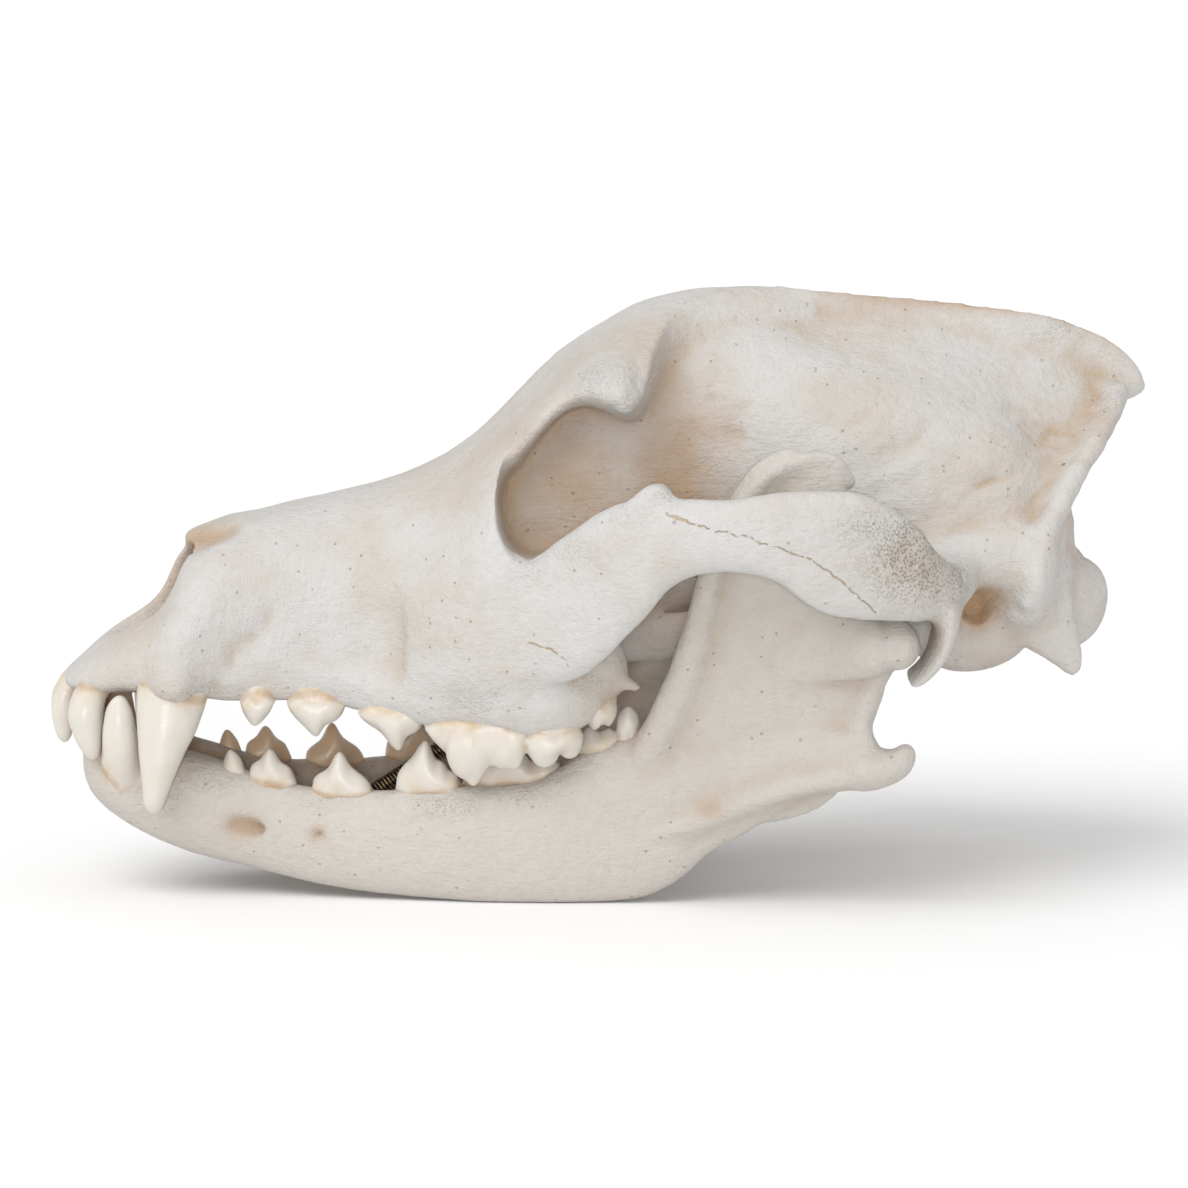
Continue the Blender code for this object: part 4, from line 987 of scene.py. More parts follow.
# Lines that muscles, rims and roots leave: the line, its rise and its width
MUSCLE_LINES = [
    ([(39.0, -27.0, 100.0), (44.0, -26.0, 104.0), (48.5, -24.0, 108.0)], 0.55, 1.3),
    ([(45.0, -28.0, 98.0), (51.0, -27.0, 103.0), (57.0, -24.0, 107.0)], 0.5, 1.2),
    ([(33.0, -26.0, 94.0), (37.0, -26.0, 98.0), (40.0, -25.0, 104.0)], 0.45, 1.3),
    ([(52.0, -30.0, 93.0), (58.0, -29.0, 98.0), (65.0, -27.0, 102.0)], 0.4, 1.3),
    ([(75.0, -29.0, 91.5), (82.0, -27.5, 94.0), (89.0, -25.0, 96.6)], 0.8, 1.2),
    ([(78.0, -29.5, 88.6), (85.0, -28.0, 91.0), (91.0, -25.5, 93.6)], -0.6, 1.3),
    ([(80.0, -29.5, 86.0), (86.0, -29.0, 88.0), (91.0, -28.0, 90.0)], 0.5, 1.2),
    ([(-16.0, -30.0, 105.5), (-21.5, -31.0, 97.0), (-24.4, -33.0, 88.0), (-24.2, -34.0, 80.0)],
     0.3, 1.4),
    ([(-22.5, -33.5, 76.0), (-15.0, -36.5, 73.5), (-6.0, -41.0, 77.0), (2.0, -46.0, 83.0),
      (8.0, -50.0, 89.0)], 0.7, 1.8),
    ([(-81.0, -20.0, 46.5), (-77.0, -20.5, 53.0), (-70.0, -19.5, 61.0)], -0.9, 3.2),
    ([(-70.0, -20.5, 52.0), (-60.0, -20.5, 49.0), (-52.0, -21.0, 47.5)], 0.4, 1.6),
    ([(20.0, -20.0, 108.0), (26.0, -20.0, 104.0), (30.0, -22.0, 96.0)], -0.8, 4.0),
    ([(82.0, -20.0, 106.0), (90.0, -18.0, 103.0), (97.0, -16.0, 98.0)], -0.7, 4.0),
]


def cranium_relief(points):
    """Height in millimetres: lumps of three sizes, fibres that run up the braincase, the temple
    and muscle lines, the hollow before the nerve opening of the cheek, which deepens to the rear
    and ends in a step, and lumps on the back rim and the rough zones."""
    height = 0.34 * lumps(points, 15.0, 1) + 0.14 * lumps(points, 5.5, 2)
    height += 0.05 * lumps(points, 2.4, 3)
    side = near(points, [(60, -28, 96, 32, 14, 20, 1.0), (92, -20, 92, 16, 14, 18, 0.8)])
    turned = points @ np.array([[0.80, 0.0, -0.60], [0.0, 1.0, 0.0], [0.60, 0.0, 0.80]])
    fibres = 0.50 * lumps(turned, (12.0, 9.0, 3.6), 4) + 0.26 * lumps(turned, (6.5, 5.0, 2.0), 5)
    height += side * fibres
    height += 1.1 * along_line(points, TEMPLE_LINE, 1.5)
    for line, rise, width in MUSCLE_LINES:
        height += rise * along_line(points, line, width) * (0.75 + 0.5 * lumps(points, 2.6, 10))
    x, _, z = points.T
    before_step = 1 / (1 + np.exp(np.clip((x + 42.0) / 0.35, -60, 60)))
    deeper = np.clip((x + 57) / 14, 0, 1) ** 1.5
    height -= 1.2 * deeper * before_step * np.exp(-((z - 57) / 8.5) ** 4)
    edge = along_line(points, NUCHAL_EDGE, 4.0)
    height += edge * (0.45 * lumps(points, 3.2, 8) + 0.25 * lumps(points, 6.5, 9))
    rough = near(points, ROUGH_BONE)
    height += rough * (0.26 * lumps(points, 1.9, 6) + 0.20 * lumps(points, 3.4, 7))
    return height


def build_cranium():
    """One relaxed bone: forms joined, hollowed, voxel remeshed, relaxed and given its relief."""
    whole = mesh_object("cranium", muzzle())
    combine(whole, both(eye_socket()), "DIFFERENCE")
    pieces = [core(), forehead(), *sagittal_crest(), nuchal_shield(), occipital_keel()]
    for surface in cranium_growths():
        pieces += both(surface)
    combine(whole, pieces, "UNION")
    combine(whole, cranium_hollows(), "DIFFERENCE")
    remesh(whole, sizes().cranium_voxel)
    keep_largest(whole)
    relax(whole, 40)
    mesh = whole.data
    points = points_of(mesh)
    lift = cranium_relief(points) * sizes().relief
    put_points(mesh, points + normals_of(mesh) * lift[:, None])
    thin_out(whole, sizes().triangles)
    mesh = whole.data
    points = points_of(mesh)
    give(mesh, "rough", near(points, ROUGH_BONE))
    top = along_line(points, [(x, 0.0, z) for x, z in CREST_LINE[2:]], 2.2)
    top *= 0.35 + 0.35 * lumps(points, 4.0, 17)
    # Stain mask: real stain along the crest, and painted shade mixed with stain in the openings,
    # recesses and underside
    give(mesh, "stain_and_shade", np.clip(near(points, CRANIUM_STAIN_AND_SHADE_SPOTS) + top, 0, 1))
    # Hollow mask: the deeper the crease or recess, the more tan, which is partly real tan and partly
    # painted shade
    wide, fine = hollowness(mesh, 40, 1.2), hollowness(mesh, 6, 0.22)
    pale = 1 - 0.8 * near(points, [(-50, -21, 58, 16, 8, 14, 1.2)])
    deep = 0.65 * np.clip(wide, 0, 1) + 0.5 * np.clip(fine, 0, 1)
    give(mesh, "hollow", pale * np.clip(deep, 0, 1))
    return whole


# Bone of the lower jaw

# Least distance from a half of the jaw to the middle
MIDDLE_GAP = 0.15


def jaw_pieces():
    """Left half of the lower jaw: body, upright plate with its ridges, joint and hook."""
    body = limb(
        [
            (-108.3, -4.6, 31.5, 4.8, 4.2),
            (-103.5, -6.0, 29.0, 6.6, 7.4),
            (-96.0, -7.8, 24.4, 8.2, 9.2),
            (-85.0, -9.5, 20.2, 7.6, 10.4),
            (-71.0, -12.8, 16.2, 5.0, 9.8),
            (-53.0, -17.6, 13.5, 4.6, 10.7),
            (-32.0, -22.4, 13.0, 4.9, 12.0),
            (-10.0, -25.6, 14.2, 5.0, 14.0),
            (4.0, -27.4, 18.6, 4.8, 17.0),
            (15.0, -29.2, 24.4, 4.2, 14.6),
            (25.0, -31.6, 28.0, 3.6, 12.5),
            (36.0, -35.4, 31.5, 3.2, 9.0),
            (48.0, -39.4, 32.5, 2.8, 6.5),
            (56.0, -41.4, 31.5, 2.6, 4.6),
        ],
        count=100,
        size=40,
        square=2.4,
    )
    plate = limb(
        [
            (20.0, -30.6, 23.0, 2.4, 9.0),
            (29.0, -33.4, 35.0, 2.0, 21.0),
            (34.5, -35.8, 45.0, 1.9, 20.6),
            (37.0, -37.6, 55.0, 1.9, 21.0),
            (34.5, -38.6, 64.0, 1.8, 16.5),
            (35.5, -39.8, 75.0, 1.8, 15.2),
            (37.5, -40.6, 85.0, 1.8, 13.0),
            (39.8, -41.0, 92.0, 1.7, 10.0),
            (42.0, -41.2, 96.8, 1.5, 5.5),
        ],
        up=(1, -0.2, 0),
        count=70,
        size=44,
        square=3.0,
        blunt=0.6,
    )
    front_ridge = limb(
        [
            (7.0, -29.0, 30.0, 4.2, 3.6),
            (12.0, -31.8, 40.0, 4.0, 3.2),
            (17.0, -35.0, 54.0, 3.4, 2.8),
            (19.5, -37.8, 66.0, 2.8, 2.6),
            (22.5, -40.0, 78.0, 2.3, 2.4),
            (28.0, -41.0, 88.0, 2.0, 2.0),
            (36.0, -41.4, 94.8, 1.8, 1.8),
            (46.0, -41.4, 95.8, 1.7, 1.7),
            (50.0, -41.0, 90.0, 1.6, 1.6),
        ],
        up=(0, 1, 0),
        count=70,
        size=24,
    )
    low_ridge = tube(
        (4.0, -29.4, 14.4, 2.4), (20.0, -33.2, 19.4, 2.6), (34.0, -37.4, 25.6, 2.5),
        (48.0, -41.3, 29.5, 2.5), (56.0, -42.5, 31.0, 2.6),
    )
    neck = limb(
        [
            (34.0, -38.2, 56.6, 1.2, 7.4),
            (43.0, -40.6, 57.0, 2.1, 7.8),
            (51.0, -44.6, 57.3, 4.0, 7.0),
            (57.8, -48.4, 57.2, 4.8, 5.3),
        ]
    )
    condyle = limb(
        [
            (57.5, -31.0, 59.0, 3.4, 3.6),
            (58.2, -38.0, 58.2, 4.6, 4.8),
            (58.9, -45.5, 57.6, 5.0, 5.3),
            (59.2, -50.5, 57.2, 4.6, 5.0),
        ]
    )
    back_edge = tube(
        (57.0, -42.0, 55.0, 3.2), (53.5, -40.6, 46.0, 2.4), (52.0, -40.4, 39.0, 2.4),
        (54.0, -41.0, 33.0, 3.0),
        up=(1, 0, 0),
    )
    hook = tube(
        (48.0, -40.0, 31.0, 4.4), (55.0, -41.6, 31.2, 4.4), (60.0, -42.2, 32.6, 3.2),
        (62.2, -42.4, 36.6, 2.0),
    )
    canine_swelling = limb(
        [
            (-92.0, -8.6, 17.5, 4.6, 3.6),
            (-96.0, -10.2, 21.5, 5.4, 4.6),
            (-99.4, -11.0, 25.0, 4.8, 4.8),
        ],
        up=(1, 0, 0),
    )
    tooth_ridge = limb(
        [
            (-82.0, -11.0, 23.6, 2.6, 3.0),
            (-70.0, -13.4, 21.2, 2.6, 2.8),
            (-55.0, -16.9, 20.2, 2.9, 2.8),
            (-37.0, -20.4, 21.6, 3.2, 2.9),
            (-20.0, -22.6, 22.8, 3.8, 3.2),
            (-8.0, -24.6, 25.4, 3.8, 3.4),
            (0.0, -26.2, 29.8, 3.6, 3.4),
            (7.0, -27.8, 35.4, 3.2, 3.4),
        ],
        count=80,
        size=28,
    )
    return [
        body, plate, front_ridge, low_ridge, neck, condyle, back_edge, hook, canine_swelling,
        tooth_ridge,
    ]


def jaw_hollows():
    """The two outer nerve holes near the front, and the inner one before the hook."""
    return [
        limb([
            (-79.0, -17.2, 17.2, 2.4, 1.9), (-75.0, -17.4, 16.2, 2.2, 2.1),
            (-70.0, -15.0, 15.4, 1.6, 1.6),
        ]),
        tube((-60.4, -21.6, 15.0, 1.4), (-58.8, -18.0, 15.0, 1.1)),
        limb([(26.0, -26.0, 36.0, 2.0, 3.2), (22.0, -29.6, 33.0, 1.6, 2.4)]),
    ]


JAW_ROUGH = [
    (-88.0, -19, 33, 10, 7, 5, 0.35), (-66.0, -22, 29, 14, 7, 4, 0.35),
    (-40.0, -25, 28, 14, 7, 4, 0.45), (-14.0, -28, 28, 14, 7, 4, 0.45),
    (-84.0, -16, 26, 12, 6, 5, 0.55), (-92.0, -16, 22, 10, 6, 6, 0.5),
    (-34.0, -26, 22, 12, 5, 4, 0.6), (-18.0, -28, 24, 12, 5, 4, 0.5),
    (-60.0, -20, 22, 12, 5, 3, 0.45), (-103.0, -8, 24, 6, 8, 8, 0.45),
    (12.0, -33, 30, 5, 5, 20, 0.25), (56.0, -42, 34, 8, 5, 5, 0.45), (30.0, -36, 22, 24, 5, 5, 0.3),
]

# Spots of real stain and of painted shade: the nerve holes, behind the last tooth and under the joint
# are tinted as shade
JAW_STAIN_AND_SHADE_SPOTS = [
    (-75.5, -16, 16.2, 4.0, 4, 3.0, 0.8), (-60.0, -19, 15, 2.2, 4, 2.2, 0.9),
    (8.0, -26, 38, 8, 6, 8, 0.7), (-96.0, -10, 30, 10, 8, 5, 0.5), (24.0, -28, 34, 8, 4, 8, 0.5),
    (55.0, -38, 54, 5, 5, 5, 0.5), (21.0, -37, 22, 3, 4, 2, 0.6), (-104.0, 0, 22, 10, 2, 10, 0.5),
]


def jaw_relief(points):
    """Height in millimetres: lumps of three sizes, lumps on the rough zones and fine ribs that
    fan over the hollow for the chewing muscle."""
    height = 0.24 * lumps(points, 13.0, 11) + 0.11 * lumps(points, 4.6, 12)
    height += 0.05 * lumps(points, 2.2, 13)
    grains = 0.26 * lumps(points, 1.7, 14) + 0.10 * lumps(points, 3.2, 15)
    height += near(points, JAW_ROUGH) * grains
    fan = near(points, [(36, -38, 62, 15, 8, 26, 1.0)])
    turned = points @ np.array([[0.94, 0.0, 0.34], [0.0, 1.0, 0.0], [-0.34, 0.0, 0.94]])
    return height + fan * 0.10 * lumps(turned, (2.6, 8.0, 16.0), 16)


def build_jaw(side):
    """One half of the lower jaw, as one relaxed bone."""
    name = "mandible_left_bone" if side < 0 else "mandible_right_bone"
    pieces = [mirrored(surface, side) for surface in jaw_pieces()]
    whole = mesh_object(name, pieces[0])
    combine(whole, pieces[1:], "UNION")
    combine(whole, [mirrored(surface, side) for surface in jaw_hollows()], "DIFFERENCE")
    remesh(whole, sizes().jaw_voxel)
    keep_largest(whole)
    relax(whole, 40)
    mesh = whole.data
    points = points_of(mesh)
    points += normals_of(mesh) * (jaw_relief(points) * sizes().relief)[:, None]
    points[:, 2] = np.maximum(points[:, 2], TABLE_LEVEL)
    points[:, 1] = side * np.maximum(points[:, 1] * side, MIDDLE_GAP)
    put_points(mesh, points)
    thin_out(whole, sizes().triangles)
    mesh = whole.data
    points = points_of(mesh)
    give(mesh, "rough", near(points, JAW_ROUGH))
    # Tan painted on the side that faces the other half, which stands in for the shade between the jaws
    # as well as for stain
    inside = np.clip(-normals_of(mesh)[:, 1] * side * 1.6, 0, 1)
    inside *= np.clip((points[:, 2] - 12) / 10, 0, 1) * np.clip(0.4 - points[:, 0] / 40, 0, 1)
    give(mesh, "stain_and_shade", np.clip(near(points, JAW_STAIN_AND_SHADE_SPOTS) + 0.7 * inside, 0, 1))
    # Hollow mask: the deeper the crease or recess, the more tan, which is partly real tan and partly
    # painted shade
    wide, fine = hollowness(mesh, 40, 0.9), hollowness(mesh, 6, 0.18)
    deep = 0.6 * np.clip(wide, 0, 1) + 0.5 * np.clip(fine, 0, 1)
    give(mesh, "hollow", np.clip(deep, 0, 1))
    return whole


# Teeth: outline in the side view, y, gum height, half width and turn of the row

UPPER_CHEEK = [
    ([(-76.2, 44.0), (-75.4, 40.8), (-73.0, 37.9), (-70.0, 40.4), (-68.4, 44.0)], -17.6, 43.6, 2.5, 0),
    ([(-66.4, 43.6), (-65.6, 41.2), (-62.6, 37.6), (-60.0, 35.4), (-58.0, 38.0), (-56.2, 38.8),
      (-54.6, 40.4), (-53.6, 43.6)], -18.2, 43.0, 2.9, -4),
    ([(-51.5, 43.0), (-50.8, 40.0), (-46.8, 36.8), (-42.8, 32.9), (-41.3, 35.9), (-40.4, 36.4),
      (-39.2, 37.2), (-38.2, 38.4), (-37.4, 41.0)], -21.4, 41.2, 3.1, -14),
    ([(-37.8, 41.0), (-37.3, 38.0), (-32.4, 32.2), (-27.6, 26.3), (-25.8, 28.6), (-24.2, 31.0),
      (-21.6, 30.4), (-18.8, 30.8), (-17.7, 33.0), (-16.9, 38.8)], -29.2, 39.0, 3.5, -24),
    ([(-17.4, 37.8), (-16.7, 33.8), (-13.4, 30.9), (-11.2, 33.0), (-9.8, 33.9), (-7.8, 32.7),
      (-6.0, 34.4), (-5.0, 37.8)], -32.8, 37.6, 3.7, 4),
    ([(-4.7, 44.3), (-4.2, 40.2), (-2.6, 38.2), (-1.0, 39.3), (0.5, 38.8), (1.7, 40.6),
      (2.1, 44.3)], -30.2, 43.6, 3.2, 12),
]
LOWER_CHEEK = [
    ([(-79.8, 26.0), (-79.5, 29.6), (-78.1, 32.2), (-75.9, 30.2), (-74.4, 26.0)], -11.8, 26.0, 2.3, 0),
    ([(-74.2, 25.0), (-73.7, 28.6), (-71.6, 30.4), (-69.7, 32.6), (-67.4, 29.8), (-65.6, 28.4),
      (-64.1, 25.0)], -13.8, 24.6, 2.8, -10),
    ([(-61.1, 22.8), (-60.6, 26.4), (-57.6, 28.8), (-55.2, 32.4), (-52.8, 29.0), (-50.2, 27.0),
      (-48.9, 25.4), (-48.0, 22.8)], -17.3, 22.8, 3.1, -12),
    ([(-43.6, 23.8), (-43.0, 27.6), (-40.2, 31.4), (-37.2, 35.3), (-35.2, 31.2), (-33.7, 30.4),
      (-32.5, 28.8), (-31.0, 28.2), (-29.7, 23.8)], -20.8, 24.0, 3.3, -12),
    ([(-29.6, 25.0), (-28.8, 31.0), (-26.4, 34.6), (-23.6, 32.6), (-20.0, 38.0), (-17.0, 33.0),
      (-15.4, 30.6), (-12.6, 31.6), (-9.6, 30.4), (-8.4, 25.6)], -22.4, 26.0, 3.3, -8),
    ([(-5.4, 32.4), (-5.0, 36.2), (-3.2, 38.4), (-1.2, 37.2), (0.8, 38.0), (3.2, 36.4),
      (3.7, 32.4)], -25.8, 31.6, 3.0, -8),
    ([(2.3, 37.2), (2.7, 41.0), (4.8, 42.9), (6.8, 41.0), (7.3, 37.2)], -27.6, 37.0, 2.3, -8),
]

# Gum lines: x and height
UPPER_GUM = [
    (-114, 47.0), (-104, 45.8), (-98, 48.5), (-91, 46.0), (-85, 44.0), (-77, 44.4), (-72, 45.6),
    (-68, 44.4), (-60, 45.4), (-53, 43.6), (-46, 44.0), (-38, 41.6), (-28, 41.2), (-17, 39.6),
    (-11, 39.4), (-5.4, 39.6), (-4.4, 44.8), (3, 45.4),
]
LOWER_GUM = [
    (-110, 31.0), (-105, 28.8), (-101, 24.2), (-97, 23.2), (-90, 25.0), (-77, 26.0), (-69, 24.8),
    (-60, 23.0), (-55, 22.2), (-48, 23.0), (-37, 23.4), (-28, 25.2), (-19, 25.6), (-8, 27.0),
    (-5, 32.5), (3.4, 33.6), (5, 37.6), (8, 38.2),
]


def molar_lobes():
    """Rounded lobes of the shearing tooth and of the two upper molars, outer ones first."""
    return [
        ball((-13.3, -33.0, 35.4), (3.3, 3.1, 4.5)),
        ball((-8.0, -32.4, 36.4), (2.7, 3.0, 3.8)),
        ball((-29.0, -29.4, 34.6), (4.6, 3.4, 6.6)),
        ball((-20.8, -32.0, 35.0), (3.1, 2.9, 4.3)),
        ball((-12.0, -26.6, 40.6), (4.6, 5.2, 6.6)),
        ball((-9.2, -24.4, 41.2), (3.6, 4.0, 6.2)),
        ball((-0.8, -25.8, 45.2), (3.4, 4.6, 5.4)),
        ball((-34.6, -23.6, 40.0), (2.6, 3.0, 4.6)),
    ]


def upper_front():
    """Upper canine and three incisors of the left side."""
    canine = limb(
        [
            (-85.5, -14.4, 60.0, 3.6, 4.6),
            (-89.5, -16.4, 48.0, 4.4, 7.5),
            (-91.3, -18.2, 39.4, 4.3, 6.6),
            (-92.6, -19.6, 33.4, 3.6, 4.95),
            (-93.7, -20.5, 26.6, 2.7, 3.2),
            (-94.3, -21.0, 21.8, 1.8, 1.9),
            (-94.4, -21.1, 20.2, 1.0, 1.2),
        ],
        up=(1, 0, 0),
    )
    first = limb(
        [
            (-101.0, -2.6, 50.0, 1.2, 1.2),
            (-106.8, -2.7, 48.0, 1.4, 1.4),
            (-110.6, -2.8, 46.0, 1.8, 1.9),
            (-112.6, -2.9, 42.2, 2.4, 2.5),
            (-112.9, -2.95, 37.0, 2.4, 2.3),
            (-112.8, -3.0, 34.4, 2.0, 1.7),
            (-112.7, -3.0, 32.5, 1.3, 0.9),
        ],
        up=(1, 0, 0),
        square=2.3,
    )
    second = limb(
        [
            (-98.5, -6.4, 50.0, 1.3, 1.4),
            (-103.8, -6.9, 48.0, 1.5, 1.6),
            (-107.2, -7.2, 46.0, 2.0, 2.1),
            (-108.9, -7.5, 42.0, 2.3, 2.4),
            (-109.2, -7.7, 37.0, 2.2, 2.0),
            (-109.0, -7.8, 34.0, 1.6, 1.1),
            (-108.8, -7.8, 32.6, 1.0, 0.6),
        ],
        up=(1, 0, 0),
        square=2.3,
    )
    third = limb(
        [
            (-97.0, -9.2, 50.0, 1.8, 2.0),
            (-102.6, -10.3, 48.0, 2.1, 2.4),
            (-106.2, -11.3, 45.4, 2.5, 3.1),
            (-108.1, -12.4, 41.4, 3.1, 3.7),
            (-107.9, -13.0, 36.8, 2.8, 3.3),
            (-107.1, -13.3, 33.2, 2.1, 2.2),
            (-106.4, -13.3, 30.6, 1.1, 1.1),
        ],
        up=(1, 0, 0),
    )
    return [canine, first, second, third]


def lower_front():
    """Lower canine and three incisors of the left side."""
    canine = limb(
        [
            (-95.5, -8.0, 16.0, 2.2, 2.8),
            (-98.8, -10.2, 22.0, 2.8, 3.8),
            (-100.4, -12.8, 27.5, 3.6, 4.5),
            (-101.0, -14.7, 33.0, 3.4, 3.95),
            (-101.3, -15.3, 38.6, 2.6, 3.35),
            (-101.2, -15.5, 42.0, 1.8, 2.55),
            (-101.0, -15.6, 44.6, 1.0, 1.1),
        ],
        up=(1, 0, 0),
    )
    incisors = [(-105.8, -2.0, 40.4, 1.5), (-105.4, -5.2, 41.0, 1.6), (-104.6, -8.2, 40.6, 1.7)]
    made = [canine]
    for x, y, top, wide in incisors:
        made.append(limb(
            [
                (x + 1.4, y * 0.9, 25.0, 1.2, 1.6),
                (x - 0.4, y, 31.5, wide, 2.1),
                (x - 1.0, y, 36.5, wide + 0.2, 1.9),
                (x - 0.8, y, top, wide * 0.7, 0.7),
            ],
            up=(1, 0, 0),
            square=2.4,
        ))
    return made


def tooth_grooves(points, seed):
    """Height in millimetres: shallow lumps and faint upright ribs."""
    ribs = lumps(points, (1.5, 1.5, 9.0), seed) * 0.05
    return 0.09 * lumps(points, 2.8, seed + 1) + ribs


def build_teeth(name, side, surfaces, gum, seed):
    """The surfaces joined, voxel remeshed, relaxed and given their grooves. Neck is one at the
    gum line and falls away within some millimetres, and inner is one on the tongue's side."""
    placed = [mirrored(surface, side) for surface in surfaces]
    whole = mesh_object(name, placed[0])
    combine(whole, placed[1:], "UNION")
    remesh(whole, sizes().tooth_voxel)
    relax(whole, 9, 0.5, 0.12)
    mesh = whole.data
    points = points_of(mesh)
    put_points(mesh, points + normals_of(mesh) * tooth_grooves(points, seed)[:, None])
    thin_out(whole, sizes().tooth_triangles)
    mesh = whole.data
    points = points_of(mesh)
    line = np.array(gum, float)
    away = np.abs(points[:, 2] - np.interp(points[:, 0], line[:, 0], line[:, 1]))
    give(mesh, "neck", np.exp(-(away / 3.2) ** 2))
    give(mesh, "inner", np.clip(-normals_of(mesh)[:, 1] * side * 1.5, 0, 1))
    # Hollow mask: grooves and recesses get a warm tint, partly real and partly painted shade
    give(mesh, "hollow", np.clip(hollowness(mesh, 10, 0.16), 0, 1))
    return whole


# The jaw spring: its two ends, and its radius outside
SPRING_START = np.array((-50.5, -11.2, 20.6))
SPRING_END = np.array((-15.8, -8.5, 41.6))
SPRING_RADIUS = 1.95


def spring_coil():
    """Closed coil: at each step of the wire's turn the middle of the wire is the rod's point plus
    the coil's radius along the turning direction, and a ring of the wire's radius stands there."""
    along = SPRING_END - SPRING_START
    length = np.linalg.norm(along)
    wire = mm(sizes().spring_wire)
    turns = length / mm(sizes().spring_pitch)
    t = np.linspace(0, 1, int(turns * 22))
    angle = t * turns * 2 * math.pi
    ahead = along / length
    across = np.array((0.0, 1.0, 0.0))
    across = across - ahead * (across @ ahead)
    across /= np.linalg.norm(across)
    rise = np.cross(ahead, across)
    out = np.cos(angle)[:, None] * across + np.sin(angle)[:, None] * rise
    middle = SPRING_START + t[:, None] * along + out * (SPRING_RADIUS - wire)
    turn = np.linspace(0, 2 * math.pi, 8, endpoint=False)
    rings = middle[:, None] + wire * (
        np.cos(turn)[None, :, None] * out[:, None] + np.sin(turn)[None, :, None] * ahead
    )
    return loft(rings)


# Materials

def add(tree, kind, inputs=None, **settings):
    """A node with its settings; an input is a value or another node's output."""
    made = tree.nodes.new(kind)
    for key, value in settings.items():
        setattr(made, key, value)
    for key, value in (inputs or {}).items():
        if isinstance(value, bpy.types.NodeSocket):
            tree.links.new(value, made.inputs[key])
        else:
            made.inputs[key].default_value = value
    return made


def maths(tree, operation, *values, clamp=False):
    """Result of one sum on values or sockets."""
    inputs = dict(enumerate(values))
    return add(tree, "ShaderNodeMath", inputs, operation=operation, use_clamp=clamp).outputs[0]


def vectors(tree, operation, first, second):
    """Result of one sum on two vectors, which is the second output where it is a length."""
    made = add(tree, "ShaderNodeVectorMath", {0: first, 1: second}, operation=operation)
    return made.outputs[1 if operation == "DISTANCE" else 0]


def noise(tree, at, scale, detail, roughness=0.5):
    """Soft noise about one half, at so many lumps a metre."""
    inputs = {"Vector": at, "Scale": scale, "Detail": detail, "Roughness": roughness}
    return add(tree, "ShaderNodeTexNoise", inputs).outputs["Fac"]


def blend(tree, share, first, second):
    """Colour between the first and the second by the share."""
    made = add(tree, "ShaderNodeMix", {0: share, 6: first, 7: second}, data_type="RGBA")
    return made.outputs[2]


def spread(tree, value, low, high, new_low=0.0, new_high=1.0):
    """The value from low to high carried over to the new range, and held there."""
    made = add(
        tree, "ShaderNodeMapRange",
        {"Value": value, "From Min": low, "From Max": high, "To Min": new_low, "To Max": new_high},
        interpolation_type="SMOOTHSTEP",
    )
    return made.outputs[0]


def group(name, inputs, outputs):
    """A shader node group with named sockets, and its two end nodes."""
    tree = bpy.data.node_groups.new(name, "ShaderNodeTree")
    for label, kind, value in inputs:
        made = tree.interface.new_socket(label, in_out="INPUT", socket_type=kind)
        if value is not None:
            made.default_value = value
    for label, kind in outputs:
        tree.interface.new_socket(label, in_out="OUTPUT", socket_type=kind)
    return tree, tree.nodes.new("NodeGroupInput"), tree.nodes.new("NodeGroupOutput")


def pores_group():
    """Round dots in the cells of a Voronoi pattern, gated so that only some cells have one."""
    tree, given, result = group(
        "bone pores",
        [("Vector", "NodeSocketVector", None), ("Scale", "NodeSocketFloat", 900.0),
         ("Size", "NodeSocketFloat", 0.3), ("Share", "NodeSocketFloat", 0.5)],
        [("Mask", "NodeSocketFloat")],
    )
    cells = add(tree, "ShaderNodeTexVoronoi", {"Vector": given.outputs[0],
                                               "Scale": given.outputs[1]})
    inner = maths(tree, "MULTIPLY", given.outputs[2], 0.45)
    dot = spread(tree, cells.outputs["Distance"], inner, given.outputs[2], 1.0, 0.0)
    pick = add(tree, "ShaderNodeSeparateColor", {0: cells.outputs["Color"]})
    some = maths(tree, "LESS_THAN", pick.outputs[0], given.outputs[3])
    tree.links.new(maths(tree, "MULTIPLY", dot, some), result.inputs[0])
    return tree


def grain_group():
    """Fine and coarse noise of the bone's skin and fibres along it, as one height."""
    tree, given, result = group(
        "bone grain",
        [("Vector", "NodeSocketVector", None), ("Fine", "NodeSocketFloat", 2600.0),
         ("Coarse", "NodeSocketFloat", 480.0)],
        [("Height", "NodeSocketFloat"), ("Tone", "NodeSocketFloat")],
    )
    at, fine_scale, coarse_scale = given.outputs[:3]
    fine = noise(tree, at, fine_scale, 3.0, 0.6)
    coarse = noise(tree, at, coarse_scale, 4.0, 0.55)
    fibre = noise(tree, vectors(tree, "MULTIPLY", at, (0.22, 1.0, 1.0)), 1500.0, 2.0)
    height = maths(tree, "MULTIPLY_ADD", fine, 0.4, coarse)
    height = maths(tree, "MULTIPLY_ADD", fibre, 0.4, height)
    tree.links.new(height, result.inputs[0])
    tree.links.new(coarse, result.inputs[1])
    return tree


def hole_group():
    """Soft round mark of a radius about a centre."""
    tree, given, result = group(
        "small hole",
        [("Vector", "NodeSocketVector", None), ("Centre", "NodeSocketVector", (0, 0, 0)),
         ("Radius", "NodeSocketFloat", 0.001)],
        [("Mask", "NodeSocketFloat")],
    )
    at, centre, radius = given.outputs[:3]
    away = vectors(tree, "DISTANCE", at, centre)
    mark = spread(tree, away, maths(tree, "MULTIPLY", radius, 0.55), radius, 1.0, 0.0)
    tree.links.new(mark, result.inputs[0])
    return tree


